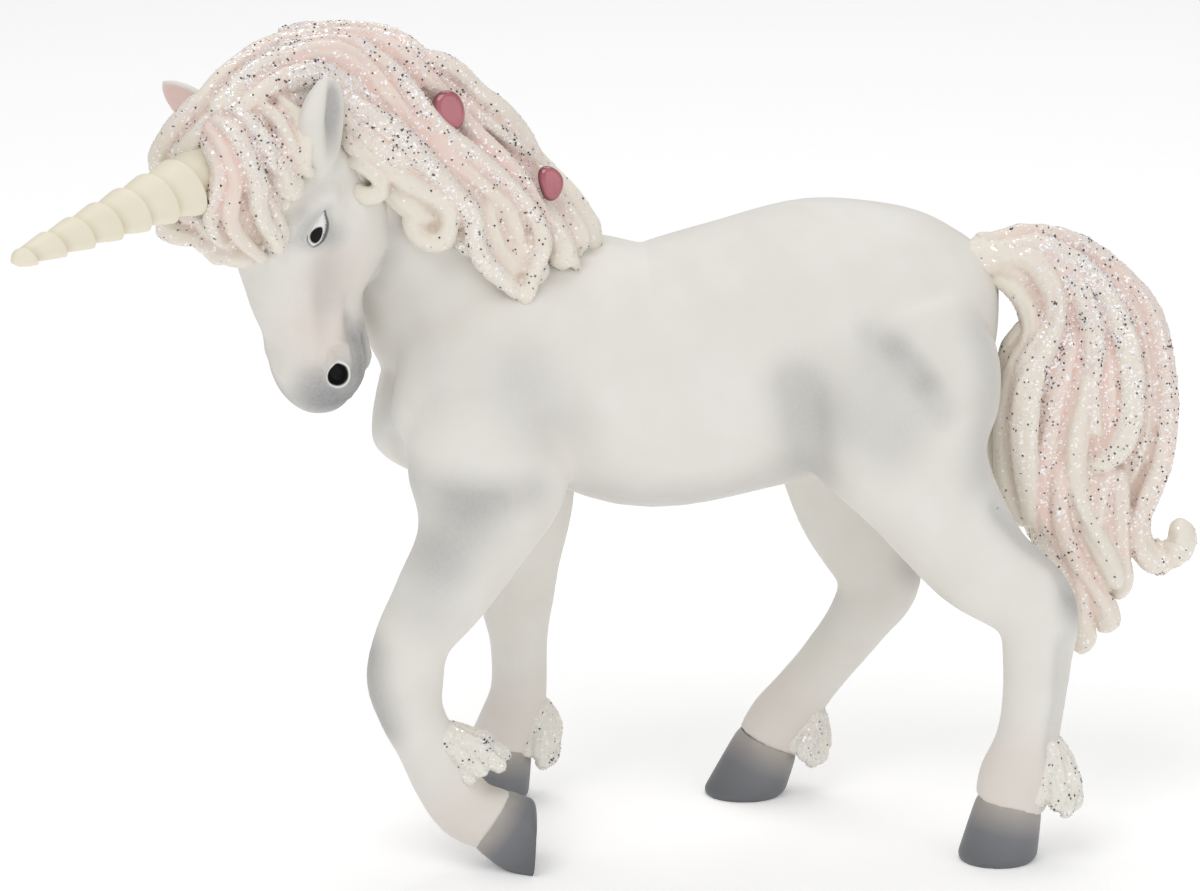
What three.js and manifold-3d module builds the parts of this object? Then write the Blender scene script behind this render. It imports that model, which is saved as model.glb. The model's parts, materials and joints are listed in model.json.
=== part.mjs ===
// Unicorn figurine: a solid-moulded pony unicorn, its head turned to the left and one fore leg bent.
// Millimetres, +Z up. The animal faces -X, its left side is -Y, and its soles stand on z = 0.
import * as THREE from "three";
import { mergeVertices } from "three/addons/utils/BufferGeometryUtils.js";
import Module from "manifold-3d";

const wasm = await Module();
wasm.setup();

// Joints between the mouldings
const CLEARANCE = 0.3; // glue gap left all round a seated moulding
const LEG_PEG_RADIUS = 2.4;
const LEG_PEG_LENGTH = 7;
const HOOF_PEG_RADIUS = 1.5;
const HOOF_PEG_LENGTH = 2.2;
const HEAD_PEG_RADIUS = 2.6;
const HEAD_PEG_LENGTH = 5;
const HORN_PEG_RADIUS = 2.2;
const HORN_PEG_LENGTH = 4;
const EAR_PEG_RADIUS = 0.8;
const EAR_PEG_LENGTH = 3;
const TAIL_PEG_RADIUS = 2.2;
const TAIL_PEG_LENGTH = 6;

// Trunk and legs
const BODY_LENGTH = 69; // breast to buttock
const WITHERS_HEIGHT = 69; // ground to the top of the shoulders
const BARREL_HALF_WIDTH = 14.2;
const BARREL_HALF_DEPTH = 15;
const NECK_HALF_WIDTH = 9.6;
const NECK_HALF_DEPTH = 13.2;
const STANCE = 12; // midline to the middle of each hoof
const HIP_HALF_WIDTH = 9.2; // midline to the middle of each thigh
const SHOULDER_HALF_WIDTH = 8.6; // midline to the middle of each upper arm
const THIGH_HALF_WIDTH = 6.2;
const UPPER_ARM_HALF_WIDTH = 4.9;
const KNEE_HALF_WIDTH = 3.6;
const CANNON_HALF_WIDTH = 2.9;
const FETLOCK_HALF_WIDTH = 3.2;

// Hooves
const SOLE_RADIUS = 4.4;
const CORONET_RADIUS = 3.6;
const HOOF_STRETCH = 0.3; // how much longer than wide a hoof is, each way

// Head
const HEAD_SHIFT = 12.4; // poll to the midline of the trunk
const HEAD_LENGTH = 31;
const HEAD_HALF_WIDTH = 7.3;
const HEAD_HALF_DEPTH = 9.7;
const HEAD_YAW = 42; // degrees turned to the left
const HEAD_TUCK = 13; // degrees the nose is drawn in behind the vertical
const EYE_RADIUS = 1.7;
const NOSTRIL_RADIUS = 1.1;
const EAR_LENGTH = 11;
const EAR_HALF_WIDTH = 2.7;
const EAR_SPREAD = 6; // midline of the head to the root of each ear
const EAR_DEPTH = 3; // root of an ear to its seat on the skin

// Horn
const HORN_LENGTH = 32.2;
const HORN_BASE_RADIUS = 4.2;
const HORN_TIP_RADIUS = 1.1;
const HORN_TURNS = 9.6;
const HORN_STEP = 0.24; // how far each ridge overhangs the next, as a share of the radius
const HORN_RAKE = 2.5; // degrees above square to the head
const HORN_DEPTH = 2.6; // foot of the horn to its seat on the skin

// Hair
const MANE_LOCK = 3.3; // half the width of a mane lock
const MANE_LIFT = 3.9; // middle of a crest lock over the skin at the poll
const FORELOCK_LOCK = 2.8;
const TAIL_LOCK = 3.2;
const TAIL_HALF_WIDTH = 4.4; // midline of the tail to the middle of its side locks
const TUFT_LOCK = 2;
const TUFT_DROP = 1.6; // how far the tip of a tuft hangs below its last point
const TUFT_SPREAD = 34; // degrees round the leg between two locks of a tuft
const LOCK_FLATNESS = 0.78; // thickness of a lock as a share of its width
const LOCK_TAPER = 1.5; // how soon a lock is full width behind its tip
const LOCK_TIP = 0.22; // width left at the tip of a lock, as a share

// Gems
const GEM_RADIUS = 1.8;
const GEM_TABLE = 0.62; // flat top of a gem as a share of its radius
const GEM_HEIGHT = 1.5;

// Surface
const TRUNK_FACETS = [22, 19]; // round and along
const NECK_FACETS = [18, 11];
const HEAD_FACETS = [16, 17];
const LEG_FACETS = [12, 19];
const HOOF_FACETS = [12, 4];
const EAR_FACETS = [10, 7];
const LOCK_FACETS = [7, 2]; // round, and between two points of a lock
const HORN_FACETS = [12, 5]; // round, and to each turn of the ridge
const PEG_FACETS = 16;
const SURFACE_TOLERANCE = 0.05; // facets that differ by less are merged
const SPACE = 200; // larger than the whole figure, for cutting blocks

const UP = new THREE.Vector3(0, 0, 1);
const LEFT = new THREE.Vector3(0, -1, 0);
const RIGHT = new THREE.Vector3(0, 1, 0);
const radians = THREE.MathUtils.degToRad;
const lerp = THREE.MathUtils.lerp;
const vec = (x, y, z) => new THREE.Vector3(x, y, z);

// A place in the figure: x in hundredths of the body's length, z in hundredths of the withers' height.
const lay = (x, y, z) => vec((x / 100) * BODY_LENGTH, y, (z / 100) * WITHERS_HEIGHT);

// Solids

// A closed geometry as a solid that can be joined and cut.
function solid(geometry) {
  const bare = geometry.clone();
  bare.deleteAttribute("normal");
  bare.deleteAttribute("uv");
  const merged = mergeVertices(bare, 1e-4);
  return new wasm.Manifold(new wasm.Mesh({
    numProp: 3,
    vertProperties: merged.attributes.position.array,
    triVerts: new Uint32Array(merged.index.array),
  }));
}

const unite = (shapes) => shapes.reduce((whole, next) => whole.add(next));
const cut = (shape, ...tools) => tools.reduce((rest, tool) => rest.subtract(tool), shape);

// The largest body of a shape: drops the crumbs that a cut leaves behind.
function largest(shape) {
  const bodies = shape.decompose();
  bodies.sort((a, b) => b.volume() - a.volume());
  return bodies[0];
}

function geometryOf(shape) {
  const mesh = shape.getMesh();
  const geometry = new THREE.BufferGeometry();
  geometry.setAttribute("position", new THREE.BufferAttribute(mesh.vertProperties, 3));
  geometry.setIndex(new THREE.BufferAttribute(mesh.triVerts, 1));
  return geometry;
}

// One oval section: its middle, half width along side, half depth square to side, and the side direction.
const station = (at, wide, deep, side = LEFT) => ({ at, wide, deep, side });

// A smooth run of oval sections through stations.
class Spine {
  constructor(stations) {
    this.path = new THREE.CatmullRomCurve3(stations.map((s) => s.at));
    this.sizes = new THREE.CatmullRomCurve3(stations.map((s) => vec(s.wide, s.deep, 0)));
    this.sides = new THREE.CatmullRomCurve3(stations.map((s) => s.side));
  }

  section(t) {
    const at = this.path.getPoint(t);
    const along = this.path.getTangent(t);
    const side = this.sides.getPoint(t);
    side.addScaledVector(along, -side.dot(along)).normalize();
    const size = this.sizes.getPoint(t);
    return { at, along, side, out: side.clone().cross(along), wide: size.x, deep: size.y };
  }

  // A point over the skin: degrees run from the out direction round to the side direction.
  over(t, degrees, lift) {
    const s = this.section(t);
    const a = radians(degrees);
    return s.at.clone()
      .addScaledVector(s.side, Math.sin(a) * (s.wide + lift))
      .addScaledVector(s.out, Math.cos(a) * (s.deep + lift));
  }
}

// The closed skin of a spine, grown outwards by a clearance. relief(t, angle) can groove the skin.
function loft(spine, [round, along], grow = 0, relief = () => 1) {
  const sides = Math.round(round);
  const steps = Math.round(along);
  const points = [];
  const triangles = [];
  const addPoint = (p) => points.push(p.x, p.y, p.z);
  for (let i = 0; i <= steps; i++) {
    const s = spine.section(i / steps);
    if (i === 0) s.at.addScaledVector(s.along, -grow);
    if (i === steps) s.at.addScaledVector(s.along, grow);
    for (let j = 0; j < sides; j++) {
      const a = (j / sides) * 2 * Math.PI;
      const share = relief(i / steps, a);
      addPoint(s.at.clone()
        .addScaledVector(s.side, Math.cos(a) * (s.wide * share + grow))
        .addScaledVector(s.out, Math.sin(a) * (s.deep * share + grow)));
    }
  }
  const first = spine.section(0);
  const last = spine.section(1);
  addPoint(first.at.addScaledVector(first.along, -grow));
  addPoint(last.at.addScaledVector(last.along, grow));
  const hub = (steps + 1) * sides;
  for (let j = 0; j < sides; j++) {
    const next = (j + 1) % sides;
    triangles.push(hub, j, next);
    triangles.push(hub + 1, steps * sides + next, steps * sides + j);
    for (let i = 0; i < steps; i++) {
      const a = i * sides + j;
      const b = i * sides + next;
      triangles.push(a, a + sides, b, b, a + sides, b + sides);
    }
  }
  const geometry = new THREE.BufferGeometry();
  geometry.setAttribute("position", new THREE.Float32BufferAttribute(points, 3));
  geometry.setIndex(triangles);
  return solid(geometry);
}

// A round peg from a seat along a direction, its root sunk one radius into the piece that carries it.
function peg(seat, along, radius, length, grow = 0) {
  const whole = length + radius + 2 * grow;
  const geometry = new THREE.CylinderGeometry(radius + grow, radius + grow, whole, PEG_FACETS);
  geometry.translate(0, whole / 2 - radius - grow, 0);
  const turn = new THREE.Quaternion().setFromUnitVectors(vec(0, 1, 0), along.clone().normalize());
  geometry.applyQuaternion(turn);
  geometry.translate(seat.x, seat.y, seat.z);
  return solid(geometry);
}

// All the space beyond a seam: a block with one face square across a section, moved along by an offset.
function beyond(section, offset) {
  const geometry = new THREE.BoxGeometry(SPACE, SPACE, SPACE);
  geometry.translate(0, 0, SPACE / 2 + offset);
  geometry.applyMatrix4(new THREE.Matrix4().makeBasis(section.out, section.side, section.along));
  geometry.translate(section.at.x, section.at.y, section.at.z);
  return solid(geometry);
}

const groundBlock = new THREE.BoxGeometry(SPACE, SPACE, SPACE);
groundBlock.translate(0, 0, -SPACE / 2);
const ground = solid(groundBlock);

// Trunk: [x, middle z, half depth and half width as shares of the barrel's]
const TRUNK = [
  [-35.1, 75.1, 0.25, 0.27],
  [-31.6, 74.5, 0.61, 0.66],
  [-24.6, 76.2, 0.87, 0.86],
  [-14.5, 80.4, 0.89, 0.95],
  [-4.3, 79.3, 0.91, 0.98],
  [7.2, 76.1, 0.97, 1],
  [21.7, 79, 1, 1],
  [36.2, 82.8, 1, 0.97],
  [46.4, 84.5, 0.87, 0.9],
  [55.1, 84.9, 0.71, 0.78],
  [60.3, 84.3, 0.53, 0.58],
  [63.2, 83.5, 0.29, 0.32],
];
const trunkSpine = new Spine(TRUNK.map(([x, z, deep, wide]) =>
  station(lay(x, 0, z), wide * BARREL_HALF_WIDTH, deep * BARREL_HALF_DEPTH)));

// The head's own frame: down its length from the poll, out through the face, and to its left
const facing = vec(-Math.cos(radians(HEAD_YAW)), -Math.sin(radians(HEAD_YAW)), 0);
const headLeft = UP.clone().cross(facing);
const headDown = facing.clone().multiplyScalar(-Math.sin(radians(HEAD_TUCK)))
  .addScaledVector(UP, -Math.cos(radians(HEAD_TUCK)));
const headOut = headDown.clone().cross(headLeft);
const POLL = lay(-50.1, -HEAD_SHIFT, 118.7); // top of the head's axis
const onHead = (down, out, left) => POLL.clone()
  .addScaledVector(headDown, down)
  .addScaledVector(headOut, out)
  .addScaledVector(headLeft, left);
// A place on the head in hundredths of its length, half depth and half width.
const onSkull = (down, out, left) => onHead(
  (down / 100) * HEAD_LENGTH, (out / 100) * HEAD_HALF_DEPTH, (left / 100) * HEAD_HALF_WIDTH);

// Head: [share of the length, then middle out from the axis, half depth and half width as shares]
const HEAD = [
  [-0.06, -0.19, 0.39, 0.5],
  [0.02, -0.19, 0.74, 0.82],
  [0.14, -0.21, 0.93, 0.98],
  [0.28, -0.23, 1, 1],
  [0.42, -0.16, 0.9, 0.88],
  [0.56, -0.02, 0.7, 0.74],
  [0.69, 0.03, 0.6, 0.67],
  [0.81, 0.02, 0.58, 0.7],
  [0.91, -0.01, 0.52, 0.64],
  [0.97, -0.04, 0.37, 0.46],
  [1, -0.05, 0.19, 0.22],
];
const headSpine = new Spine(HEAD.map(([share, out, deep, wide]) => station(
  onHead(share * HEAD_LENGTH, out * HEAD_HALF_DEPTH, 0),
  wide * HEAD_HALF_WIDTH, deep * HEAD_HALF_DEPTH, headLeft)));

// Neck: from inside the trunk up to the back of the poll, bending to the left; its out side is the crest
// [x, share of the way to the poll's side, z, half width and half depth as shares, side direction]
const NECK = [
  [-11.6, 0, 79.9, 0.99, 0.98, RIGHT],
  [-19.6, 0.05, 90, 1, 1, RIGHT],
  [-26.1, 0.16, 100.1, 0.85, 0.85, RIGHT],
  [-32.6, 0.34, 109.6, 0.73, 0.74, vec(-0.25, 0.97, 0)],
  [-38, 0.55, 115.5, 0.65, 0.62, vec(-0.5, 0.87, 0)],
];
const NECK_TOP = [0.44, 0.3]; // half width and half depth inside the head
const neckSpine = new Spine([
  ...NECK.map(([x, shift, z, wide, deep, side]) => station(
    lay(x, -shift * HEAD_SHIFT, z), wide * NECK_HALF_WIDTH, deep * NECK_HALF_DEPTH, side)),
  station(onSkull(2.6, -51.5, 0), NECK_TOP[0] * NECK_HALF_WIDTH, NECK_TOP[1] * NECK_HALF_DEPTH,
    headLeft.clone().negate()),
]);
const overNeck = (t, degreesLeft, lift) => neckSpine.over(t, -degreesLeft, lift);
const overFace = (t, degreesLeft, lift) => headSpine.over(t, 180 - degreesLeft, lift);

const bodyForm = (grow) => loft(trunkSpine, TRUNK_FACETS, grow).add(loft(neckSpine, NECK_FACETS, grow));
const headForm = (grow) => loft(headSpine, HEAD_FACETS, grow);

// Legs. rows: [x, z, half depth as a share of the half width, half width,
// share of the way from the top out to the stance].
// seam: where the leg parts from the torso. sole: middle of the sole, [x, z].
// face: the way the sole of the bent leg faces; the other soles are cut level by the ground.
// tuft: [place down the leg, height over its skin as a share of a tuft lock].
const LEGS = {
  fore_leg_left: {
    side: -1,
    top: SHOULDER_HALF_WIDTH,
    seam: 0.19,
    sole: [-11.4, 3.6],
    face: vec(1, 0, -0.06),
    tuft: [[0.66, -0.3], [0.74, 0.5], [0.8, 1], [0.84, 1.4]],
    rows: [
      [-17.4, 77, 1.76, UPPER_ARM_HALF_WIDTH, 0],
      [-18.6, 62.5, 1.8, UPPER_ARM_HALF_WIDTH, 0.3],
      [-21.3, 52.9, 1.39, 0.9 * UPPER_ARM_HALF_WIDTH, 0.6],
      [-26.4, 44.3, 1.28, 1.08 * KNEE_HALF_WIDTH, 0.85],
      [-30.4, 37.8, 1.2, 0.97 * KNEE_HALF_WIDTH, 1],
      [-31.6, 31.4, 1.19, KNEE_HALF_WIDTH, 1],
      [-30.7, 25.8, 1.24, CANNON_HALF_WIDTH, 1],
      [-28.3, 20.6, 1.17, CANNON_HALF_WIDTH, 1],
      [-25.5, 14.9, 1.12, FETLOCK_HALF_WIDTH, 1],
      [-22, 9.7, 1.12, FETLOCK_HALF_WIDTH, 1],
      [-17.7, 8, 1.12, FETLOCK_HALF_WIDTH, 1],
    ],
  },
  fore_leg_right: {
    side: 1,
    top: SHOULDER_HALF_WIDTH,
    seam: 0.22,
    sole: [-17.7, -2],
    tuft: [[0.74, -0.3], [0.84, 0.6], [0.93, 1.1], [1, 1.3]],
    rows: [
      [-17.4, 77, 1.76, UPPER_ARM_HALF_WIDTH, 0],
      [-13.6, 62.5, 1.55, UPPER_ARM_HALF_WIDTH, 0.3],
      [-12.2, 50.9, 1.36, 0.9 * UPPER_ARM_HALF_WIDTH, 0.6],
      [-12.5, 40.7, 1.24, 1.06 * KNEE_HALF_WIDTH, 0.9],
      [-12.8, 33.2, 1.14, KNEE_HALF_WIDTH, 1],
      [-12.5, 27, 1.14, CANNON_HALF_WIDTH, 1],
      [-12.5, 19, 1.1, CANNON_HALF_WIDTH, 1],
      [-13.6, 13.2, 1.16, FETLOCK_HALF_WIDTH, 1],
      [-15.8, 8.7, 1.12, FETLOCK_HALF_WIDTH, 1],
    ],
  },
  hind_leg_left: {
    side: -1,
    top: HIP_HALF_WIDTH,
    seam: 0.36,
    sole: [62.3, -2],
    tuft: [[0.78, -0.3], [0.87, 0.7], [0.94, 1.4], [1, 1.7]],
    rows: [
      [42, 88.6, 1.9, 0.81 * THIGH_HALF_WIDTH, 0],
      [44.2, 79.9, 1.97, THIGH_HALF_WIDTH, 0],
      [46.4, 69, 1.71, THIGH_HALF_WIDTH, 0.15],
      [49.6, 60.3, 1.56, 0.87 * THIGH_HALF_WIDTH, 0.45],
      [58.3, 48.7, 1.51, 1.19 * KNEE_HALF_WIDTH, 0.8],
      [67.2, 41.3, 1.42, KNEE_HALF_WIDTH, 1],
      [68.4, 33.5, 1.22, FETLOCK_HALF_WIDTH, 1],
      [68.1, 26.8, 1.21, CANNON_HALF_WIDTH, 1],
      [67.2, 20.1, 1.21, CANNON_HALF_WIDTH, 1],
      [65.8, 13.8, 1.25, FETLOCK_HALF_WIDTH, 1],
      [64.3, 9, 1.12, FETLOCK_HALF_WIDTH, 1],
    ],
  },
  hind_leg_right: {
    side: 1,
    top: HIP_HALF_WIDTH,
    seam: 0.36,
    sole: [24.1, -2],
    tuft: [[0.8, -0.3], [0.88, 0.7], [0.95, 1.3], [1, 1.6]],
    rows: [
      [42, 88.6, 1.9, 0.81 * THIGH_HALF_WIDTH, 0],
      [42.8, 79.9, 1.94, THIGH_HALF_WIDTH, 0],
      [41.2, 69, 1.61, THIGH_HALF_WIDTH, 0.15],
      [40.6, 59.6, 1.48, 0.87 * THIGH_HALF_WIDTH, 0.45],
      [42, 49.4, 1.43, 1.22 * KNEE_HALF_WIDTH, 0.8],
      [46.7, 37.2, 1.39, KNEE_HALF_WIDTH, 1],
      [43.5, 29.7, 1.16, FETLOCK_HALF_WIDTH, 1],
      [38.3, 22.5, 1.1, CANNON_HALF_WIDTH, 1],
      [34.2, 17.2, 1.14, CANNON_HALF_WIDTH, 1],
      [31, 12.6, 1.19, FETLOCK_HALF_WIDTH, 1],
      [28.4, 8.6, 1.12, FETLOCK_HALF_WIDTH, 1],
    ],
  },
};
const legs = Object.values(LEGS);
for (const leg of legs) {
  leg.spine = new Spine(leg.rows.map(([x, z, deep, wide, share]) =>
    station(lay(x, leg.side * lerp(leg.top, STANCE, share), z), wide, deep * wide)));
  leg.form = (grow) => loft(leg.spine, LEG_FACETS, grow);
}

// Hooves: a wall that widens from above the coronet to the sole, trimmed square below the leg's end
const HOOF_OVERRUN = 0.4; // how far the wall is carried up past the coronet before it is trimmed
const BENT_OVERRUN = 0.9; // how far it is carried past the sole of the bent leg
function hoofForm(leg, grow) {
  const end = leg.spine.section(1);
  const sole = lay(leg.sole[0], leg.side * STANCE, leg.sole[1]);
  const above = end.at.clone().lerp(sole, -HOOF_OVERRUN);
  const narrow = lerp(CORONET_RADIUS, SOLE_RADIUS, -HOOF_OVERRUN);
  const stations = [
    station(above, narrow, narrow),
    station(end.at, CORONET_RADIUS, CORONET_RADIUS + HOOF_STRETCH / 2),
    station(sole, SOLE_RADIUS, SOLE_RADIUS + HOOF_STRETCH),
  ];
  if (leg.face) {
    stations.push(station(end.at.clone().lerp(sole, 1 + BENT_OVERRUN), SOLE_RADIUS, SOLE_RADIUS + HOOF_STRETCH));
  }
  const wall = loft(new Spine(stations), HOOF_FACETS, grow).intersect(beyond(end, CLEARANCE - grow));
  if (!leg.face) return wall;
  const along = leg.face.clone().normalize();
  return cut(wall, beyond({ at: sole, along, side: LEFT, out: LEFT.clone().cross(along) }, grow));
}

// Horn: a tapering core wound with one ridge, each turn overhanging the next towards the foot
const HORN_FOOT = [1.3, 51.5]; // down and out from the poll
const HORN_BLUNT = 0.32; // width of the rounded tip as a share
const HORN_ROUNDING = 14; // the last 1/14 of the length rounds off to the tip
const hornAxis = headOut.clone().multiplyScalar(Math.cos(radians(HORN_RAKE)))
  .addScaledVector(headDown, -Math.sin(radians(HORN_RAKE)));
const hornFoot = onSkull(HORN_FOOT[0], HORN_FOOT[1], 0);
const hornSpine = new Spine([0, 0.5, 1].map((share) => {
  const radius = lerp(HORN_BASE_RADIUS, HORN_TIP_RADIUS, share);
  return station(hornFoot.clone().addScaledVector(hornAxis, share * HORN_LENGTH), radius, radius, headLeft);
}));
function hornRidge(t, angle) {
  const turn = t * HORN_TURNS + angle / (2 * Math.PI);
  const passed = turn - Math.floor(turn);
  const short = 1 - Math.min(1, (1 - t) * HORN_ROUNDING);
  const rounding = Math.sqrt(1 - (1 - HORN_BLUNT * HORN_BLUNT) * short * short);
  return (1 - HORN_STEP * passed) * rounding;
}
const hornForm = (grow) =>
  loft(hornSpine, [HORN_FACETS[0], HORN_TURNS * HORN_FACETS[1]], grow, hornRidge);

// Ears: leaf-shaped, hollowed on the outer side. lean: [down, out, left] of the ear's direction
const EAR_ROOT = [11.6, -16.5]; // down and out from the poll
const EAR_THICKNESS = 0.62; // as a share of the width
const EAR_LEAF = [[0, 0.72], [0.3, 1], [0.55, 0.95], [0.8, 0.55], [1, 0.08]]; // [share up, width]
const EAR_HOLLOW = [[0.2, 0.1], [0.35, 0.6], [0.6, 0.6], [0.85, 0.1]];
const EAR_HOLLOW_OFFSET = 0.55; // hollow's middle from the ear's middle, as a share of the width
const EARS = {
  ear_left: { side: 1, lean: [-1, -0.06, 0.1] },
  ear_right: { side: -1, lean: [-0.76, 0.36, -0.54] },
};
for (const ear of Object.values(EARS)) {
  ear.root = onSkull(EAR_ROOT[0], EAR_ROOT[1], 0).addScaledVector(headLeft, ear.side * EAR_SPREAD);
  ear.along = onHead(...ear.lean).sub(POLL).normalize();
  const leafSpine = (rows, offset) => new Spine(rows.map(([share, width]) => station(
    ear.root.clone().addScaledVector(ear.along, share * EAR_LENGTH).addScaledVector(headLeft, offset),
    width * EAR_HALF_WIDTH, width * EAR_HALF_WIDTH * EAR_THICKNESS, headOut)));
  const outer = leafSpine(EAR_LEAF, 0);
  ear.form = (grow) => loft(outer, EAR_FACETS, grow);
  ear.hollow = loft(leafSpine(EAR_HOLLOW, ear.side * EAR_HALF_WIDTH * EAR_HOLLOW_OFFSET), EAR_FACETS);
}

// A lock of hair through points, flat against the directions out of the skin, drawn in to a tip
function lock(points, outs, width, grow) {
  const last = points.length - 1;
  const stations = points.map((at, i) => {
    const flow = points[Math.min(last, i + 1)].clone().sub(points[Math.max(0, i - 1)]);
    const half = width * Math.min(1, LOCK_TIP + (LOCK_TAPER * (last - i)) / last);
    return station(at, half, half * LOCK_FLATNESS, outs[i].clone().cross(flow).normalize());
  });
  return loft(new Spine(stations), [LOCK_FACETS[0], LOCK_FACETS[1] * last], grow);
}

// Locks on the head: width as a share, then points [down, out, left] in hundredths of its sizes
const FORELOCK = [
  [0.9, [-21, -62, 34], [-21, -10, 58], [-10, 27, 77], [2, 29, 90], [11, 21, 96]],
  [1, [-23, -41, 21], [-21, 31, 41], [-6, 85, 55], [14, 88, 60], [36, 72, 60]],
  [1, [-23, -31, 0], [-21, 52, 21], [-8, 105, 36], [10, 115, 41], [31, 99, 36]],
  [1, [-23, -31, -14], [-22, 41, -20], [-13, 95, -40], [2, 114, -62], [19, 107, -62], [32, 87, -49]],
  [1, [-22, -46, -30], [-16, 20, -50], [-2, 68, -75], [11, 86, -92], [24, 84, -88]],
];
const CROWN = [
  [1.1, [-19, -10, 34], [-23, -62, 44], [-21, -113, 60], [-13, -155, 82], [-5, -186, 96]],
  [1.1, [-19, -10, -34], [-23, -62, -44], [-21, -113, -60], [-13, -155, -82], [-5, -186, -96]],
];
const SKULL = onSkull(13, -21, 0); // hair on the head lies flat against directions out from here
function headLocks(rows, width, grow) {
  return rows.map(([share, ...places]) => {
    const points = places.map((place) => onSkull(...place));
    const outs = points.map((p) => p.clone().sub(SKULL).normalize());
    return lock(points, outs, share * width, grow);
  });
}
const forelockForm = (grow) => unite(headLocks(FORELOCK, FORELOCK_LOCK, grow));

// Mane locks: width as a share, then [share up the neck, degrees from the crest to the left]
const MANE = [
  [1.1, [1, 0], [0.87, -4], [0.72, 0], [0.55, 0], [0.4, 2], [0.26, 8], [0.14, 14]],
  [1.05, [1, 22], [0.84, 20], [0.7, 26], [0.56, 32], [0.4, 26], [0.26, 30], [0.13, 40]],
  [1, [1, 40], [0.8, 46], [0.62, 58], [0.43, 52], [0.27, 50], [0.17, 66]],
  [0.95, [1, 60], [0.82, 78], [0.64, 74], [0.46, 64], [0.32, 66], [0.21, 70]],
  [0.72, [1, 80], [0.78, 92], [0.6, 78], [0.49, 76], [0.46, 90], [0.53, 101], [0.6, 97]],
  [0.6, [0.96, 92], [0.88, 104], [0.81, 110], [0.82, 120]],
  [1.05, [1, -24], [0.82, -28], [0.65, -34], [0.48, -36], [0.32, -36], [0.19, -40]],
  [1, [1, -50], [0.82, -62], [0.64, -70], [0.48, -72], [0.36, -76]],
  [0.8, [1, -78], [0.84, -94], [0.7, -96], [0.58, -102]],
];
const MANE_SIDE = 0.3; // share of the lift left at the side of the neck
const MANE_WITHERS = 0.35; // and at the withers
const MANE_POLL = 1.1; // and at the poll
// The mane stands proud along the crest and lies thinner down the sides and toward the withers.
function maneLift(t, degrees) {
  const crest = Math.max(0, Math.cos(radians(degrees)));
  return MANE_LIFT * lerp(MANE_SIDE, 1, crest) * lerp(MANE_WITHERS, MANE_POLL, t);
}
function maneForm(grow) {
  const neckLocks = MANE.map(([share, ...places]) => {
    const points = places.map(([t, degrees]) => overNeck(t, degrees, maneLift(t, degrees)));
    const outs = places.map(([t, degrees], i) =>
      overNeck(t, degrees, maneLift(t, degrees) + 1).sub(points[i]).normalize());
    return lock(points, outs, share * MANE_LOCK, grow);
  });
  return unite([...neckLocks, ...headLocks(CROWN, MANE_LOCK, grow)]);
}

// Tail locks: width as a share, then [x, y as a share of the half width, z]
const TAIL = [
  [1, [59.4, 0, 95.1], [69.6, 0, 95.2], [79.7, 0, 89.4], [86.1, -0.23, 77.7], [88.7, -0.32, 65.4],
    [87.2, -0.23, 54.5], [84.9, -0.23, 46.5], [88.4, -0.23, 42.9],
    [93.3, -0.23, 44.3], [94.5, -0.23, 48.4]],
  [0.95, [60.1, -0.23, 93.6], [68.8, -0.5, 92], [73.9, -0.82, 82.8], [73.3, -1, 71.2], [71.6, -1, 59.6],
    [73.6, -0.91, 48], [78.3, -0.82, 37.8], [82.6, -0.73, 31.3]],
  [1, [60.9, -0.23, 94.3], [72.5, -0.59, 92], [79.7, -0.86, 79.9], [81.4, -0.95, 65.4], [79.4, -0.95, 52.3],
    [80.6, -0.91, 41.4], [84.1, -0.82, 36.4]],
  [0.9, [60.1, 0.23, 93.6], [68.8, 0.55, 92], [73.9, 0.86, 82.8], [73.3, 1, 71.2], [72.5, 1, 59.6],
    [73.9, 0.91, 48], [76.8, 0.82, 34.9]],
  [1, [60.9, 0.23, 94.3], [72.5, 0.64, 92], [79.7, 0.91, 79.9], [82, 1, 65.4], [81.2, 1, 52.3],
    [82.6, 0.91, 42.2]],
  [0.7, [66.7, -0.68, 89.4], [70.4, -1.09, 82.2], [68.1, -1.27, 75.5], [66.7, -1.27, 69.7],
    [68.1, -1.23, 62.5], [69.6, -1.14, 53.8], [71.6, -1, 43.6]],
];
function tailForm(grow) {
  return unite(TAIL.map(([share, ...places]) => {
    const points = places.map(([x, y, z]) => lay(x, y * TAIL_HALF_WIDTH, z));
    return lock(points, points.map(() => RIGHT), share * TAIL_LOCK, grow);
  }));
}

// Fetlock tufts: three short locks off the back of each leg
function tuftForm(leg, grow) {
  return unite([-TUFT_SPREAD, 0, TUFT_SPREAD].map((degrees) => {
    const points = leg.tuft.map(([t, lift]) => leg.spine.over(t, degrees, lift * TUFT_LOCK));
    points.push(points.at(-1).clone().addScaledVector(UP, -TUFT_DROP));
    const root = leg.spine.section(leg.tuft[0][0]).at;
    return lock(points, points.map((p) => p.clone().sub(root).normalize()), TUFT_LOCK, grow);
  }));
}

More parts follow.
